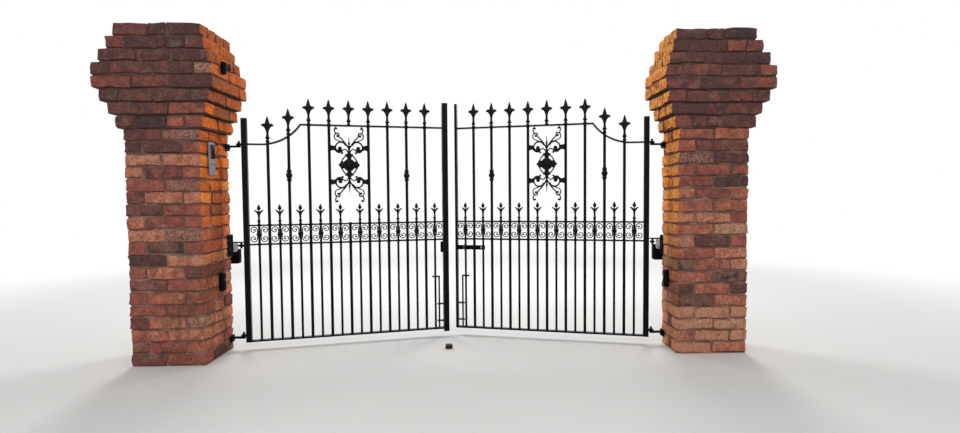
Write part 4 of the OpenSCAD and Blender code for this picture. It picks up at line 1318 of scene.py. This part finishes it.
for side in ("left", "right"):
    for kind, makePart, finish, slot, replaced in (
            ("casting", operatorCasting, "castHousing", "cast_housing", "operator_gearboxes"),
            ("cover", operatorCover, "blackPlastic", "black_plastic", "operator_motors")):
        x0, z0, x1, z1 = operator[side][kind]
        place = ((x0 + x1) / 2, operator[kind + "Middle"], (z0 + z1) / 2)
        part = makePart((x1 - x0) / 2, (z1 - z0) / 2)
        piece = fitting(side + "Operator" + kind.title(), part, finish, place, "street", slot, replaced)
        print("%s: %d triangles" % (piece.name, triangles(piece)))


# stop in the middle of the gateway: a low block, worn round at the top
groundStop = {"size": (0.045, 0.033, 0.028), "chamfer": 0.005, "wobble": 0.0022, "grain": 60.0}
stopPoints, stopFaces = softBlock(groundStop["size"], groundStop["chamfer"], (4, 3, 3))[:2]
stopSample = meshObject("stopSample", stopPoints, stopFaces, smooth=True)
stop = repeat("stopBlock", stopSample, [spot((0, 0, groundStop["size"][2] / 2))], "castIron",
              Wobble=groundStop["wobble"], Grain=groundStop["grain"])
bpy.data.objects.remove(stopSample)
clampTo(stop.data, *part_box("ground_stop"))
belong(stop, "gateway", "cast_iron", "ground_stop")


# latch: the plate and gussets that carry it on the right leaf, and the knob on its bolt
latchPlate = {"from": 1130, "to": 1281, "half": 14.5, "v": (35.2, 38.2), "z": 619, "gusset": 9}
latchKnob = {"u": 1153, "v": 26, "z": 619, "radius": 7.3}


def latchBacking(look):
    a, b, h, g = look["from"], look["to"], look["half"], look["gusset"]
    outline = [(a, -h), (b - g, -h), (b, -h - g), (b, h + g), (b - g, h), (a, h)]
    middle = (a + b) / 2
    part = castPlate([(x - middle, z) for x, z in outline], lambda x, z: 1.5, 1.5, 2, 6)
    spin = Matrix.Rotation(leafTurn("right"), 3, "Z")
    place = onLeaf("right", middle * 0.001, sum(look["v"]) / 2000, look["z"] * 0.001)
    points, faces = mirrored(part, x=-1)
    return [spin @ p * 0.001 + place for p in points], faces


backing = meshObject("latchBacking", *latchBacking(latchPlate), "blackPlate", smooth=True)
belong(backing, "right_leaf", "black_iron")
knobPlace = onLeaf("right", *(latchKnob[key] * 0.001 for key in ("u", "v", "z"))) * 1000
knob = ball(latchKnob["radius"], latchKnob["radius"] * 2, (0, 0), 12, 24)
fitting("latchKnob", knob, "paleKnob", knobPlace, "street", "pale_knob", "latch_knob", body="latch_bolt")


# hexagon bolts on washers, facing out of the plates they hold: (y, z) on each pier
bolts = {
    "across": 6.6, "tall": 5.2, "washer": 9.4, "x": 1406,
    "hinge": [(28.5, 69.5), (69.5, 69.5), (28.5, 1307.5), (69.5, 1307.5)],
    "left": [(38, 628), (38, 727), (70, 628), (70, 727)],
    "right": [(60, 612), (60, 702)],
}


def hexBolt(look):
    r, h, w = look["across"], look["tall"], look["washer"]
    washer = turned([(0, -1), (w, -1), (w, 1.1), (w * 0.94, 1.6), (0, 1.6)], 20, "y")
    headSide = [(0, 0.5), (r * 1.12, 0.5), (r * 1.155, 1.4), (r * 1.155, h - 0.8), (r, h), (0, h + 0.3)]
    return gather([washer, turned(headSide, 6, "y")])


boltSample = sampleOf("boltSample", hexBolt(bolts), smooth=False)
spots = []
for side, hand, way in (("left", -1, "right"), ("right", 1, "left")):
    for y, z in bolts["hinge"] + bolts[side]:
        spots.append(spot(Vector((hand * bolts["x"], y, z)) * 0.001, (0, 0, facing[way])))
belong(repeat("plateBolts", boltSample, spots, "blackPlate", Seed=4), "gateway", "black_iron")
bpy.data.objects.remove(boltSample)
print("bolts: %d" % len(spots))


finishOf = {
    "red_brick": "redBrick", "black_iron": "blackIron", "black_castings": "blackCasting",
    "cast_iron": "castIron", "cast_housing": "castHousing", "black_plastic": "blackPlastic",
    "grey_panel": "greyPanel", "pale_knob": "paleKnob",
}
for part in frame["record"]["subparts"]:
    matt = part["node"] in ("operator_brackets", "hinge_brackets", "latch_case")
    mesh = cadNodes[part["node"]].data
    mesh.materials.clear()
    mesh.materials.append(materials["blackPlate" if matt else finishOf[part["material_slot"]]])
print("CAD nodes finished")


# a lamp: its place, what it points at, its size and its power
studio = {
    "floorColour": (0.74, 0.735, 0.72),
    "floorSize": 60,
    "floorFade": (2.2, 6.5),  # metres from the middle over which the floor turns into the backdrop
    "ambient": 0.58,
    "lamps": {
        "keyLight": ((0, -4.6, 3.6), (0, 0, 0.9), (4, 2.5), 70),
        "leftBackLight": ((2.3, 3.4, 3.2), (-1.45, 0, 1.3), (1.6, 1.6), 110),
        "rightBackLight": ((-2.3, 3.4, 3.2), (1.45, 0, 1.3), (1.6, 1.6), 110),
    },
}


# 1 for what the camera sees, also in a reflection
def shownMask(tree):
    rays = node(tree, "ShaderNodeLightPath").outputs
    indirect = sums(tree, "MAXIMUM", rays["Is Glossy Ray"], rays["Is Transmission Ray"])
    return sums(tree, "MAXIMUM", rays["Is Camera Ray"], indirect)


# the floor's far part shows as white as the backdrop, and its near part keeps the shadow
def addFloor(look):
    material, tree, shader, coords = newMaterial("paleFloor")
    stops = [(0, look["floorColour"]), (1, tuple(c * 1.02 for c in look["floorColour"]))]
    tint = ramp(tree, cloud(tree, coords, Scale=3, Detail=3), stops)
    fill(tree, shader, **{"Base Color": tint, "Roughness": 0.9, "Specular IOR Level": 0.2})
    away = node(tree, "ShaderNodeVectorMath", coords, operation="LENGTH").outputs["Value"]
    far = times(tree, spread(tree, away, *look["floorFade"]), shownMask(tree))
    white = node(tree, "ShaderNodeEmission", Color=(1, 1, 1, 1), Strength=1).outputs[0]
    blend = node(tree, "ShaderNodeMixShader", far, shader.outputs[0], white)
    fill(tree, tree.nodes["Material Output"], Surface=blend.outputs[0])
    materials["paleFloor"] = material
    s = look["floorSize"] / 2
    corners = [(-s, -s, 0), (s, -s, 0), (s, s, 0), (-s, s, 0)]
    meshObject("floor", corners, [(0, 1, 2, 3)], "paleFloor")


def addLamp(name, place, target, size, power):
    data = bpy.data.lights.new(name, "AREA")
    data.shape = "RECTANGLE"
    data.size, data.size_y = size
    data.energy = power
    aim = (Vector(target) - Vector(place)).to_track_quat("-Z", "Y")
    addObject(name, data).matrix_world = Matrix.Translation(place) @ aim.to_matrix().to_4x4()


def addWorld(look):
    world = bpy.data.worlds.new("studio")
    scene.world = world
    world.use_nodes = True
    tree = world.node_tree
    tree.nodes.clear()
    light, backdrop = (node(tree, "ShaderNodeBackground", Color=(1, 1, 1, 1), Strength=power).outputs[0]
                       for power in (look["ambient"], 1))
    blend = node(tree, "ShaderNodeMixShader", shownMask(tree), light, backdrop)
    node(tree, "ShaderNodeOutputWorld", blend.outputs[0])


addFloor(studio)
for name, lamp in studio["lamps"].items():
    addLamp(name, *lamp)
addWorld(studio)
scene.view_settings.view_transform = "Standard"
print("stage set")
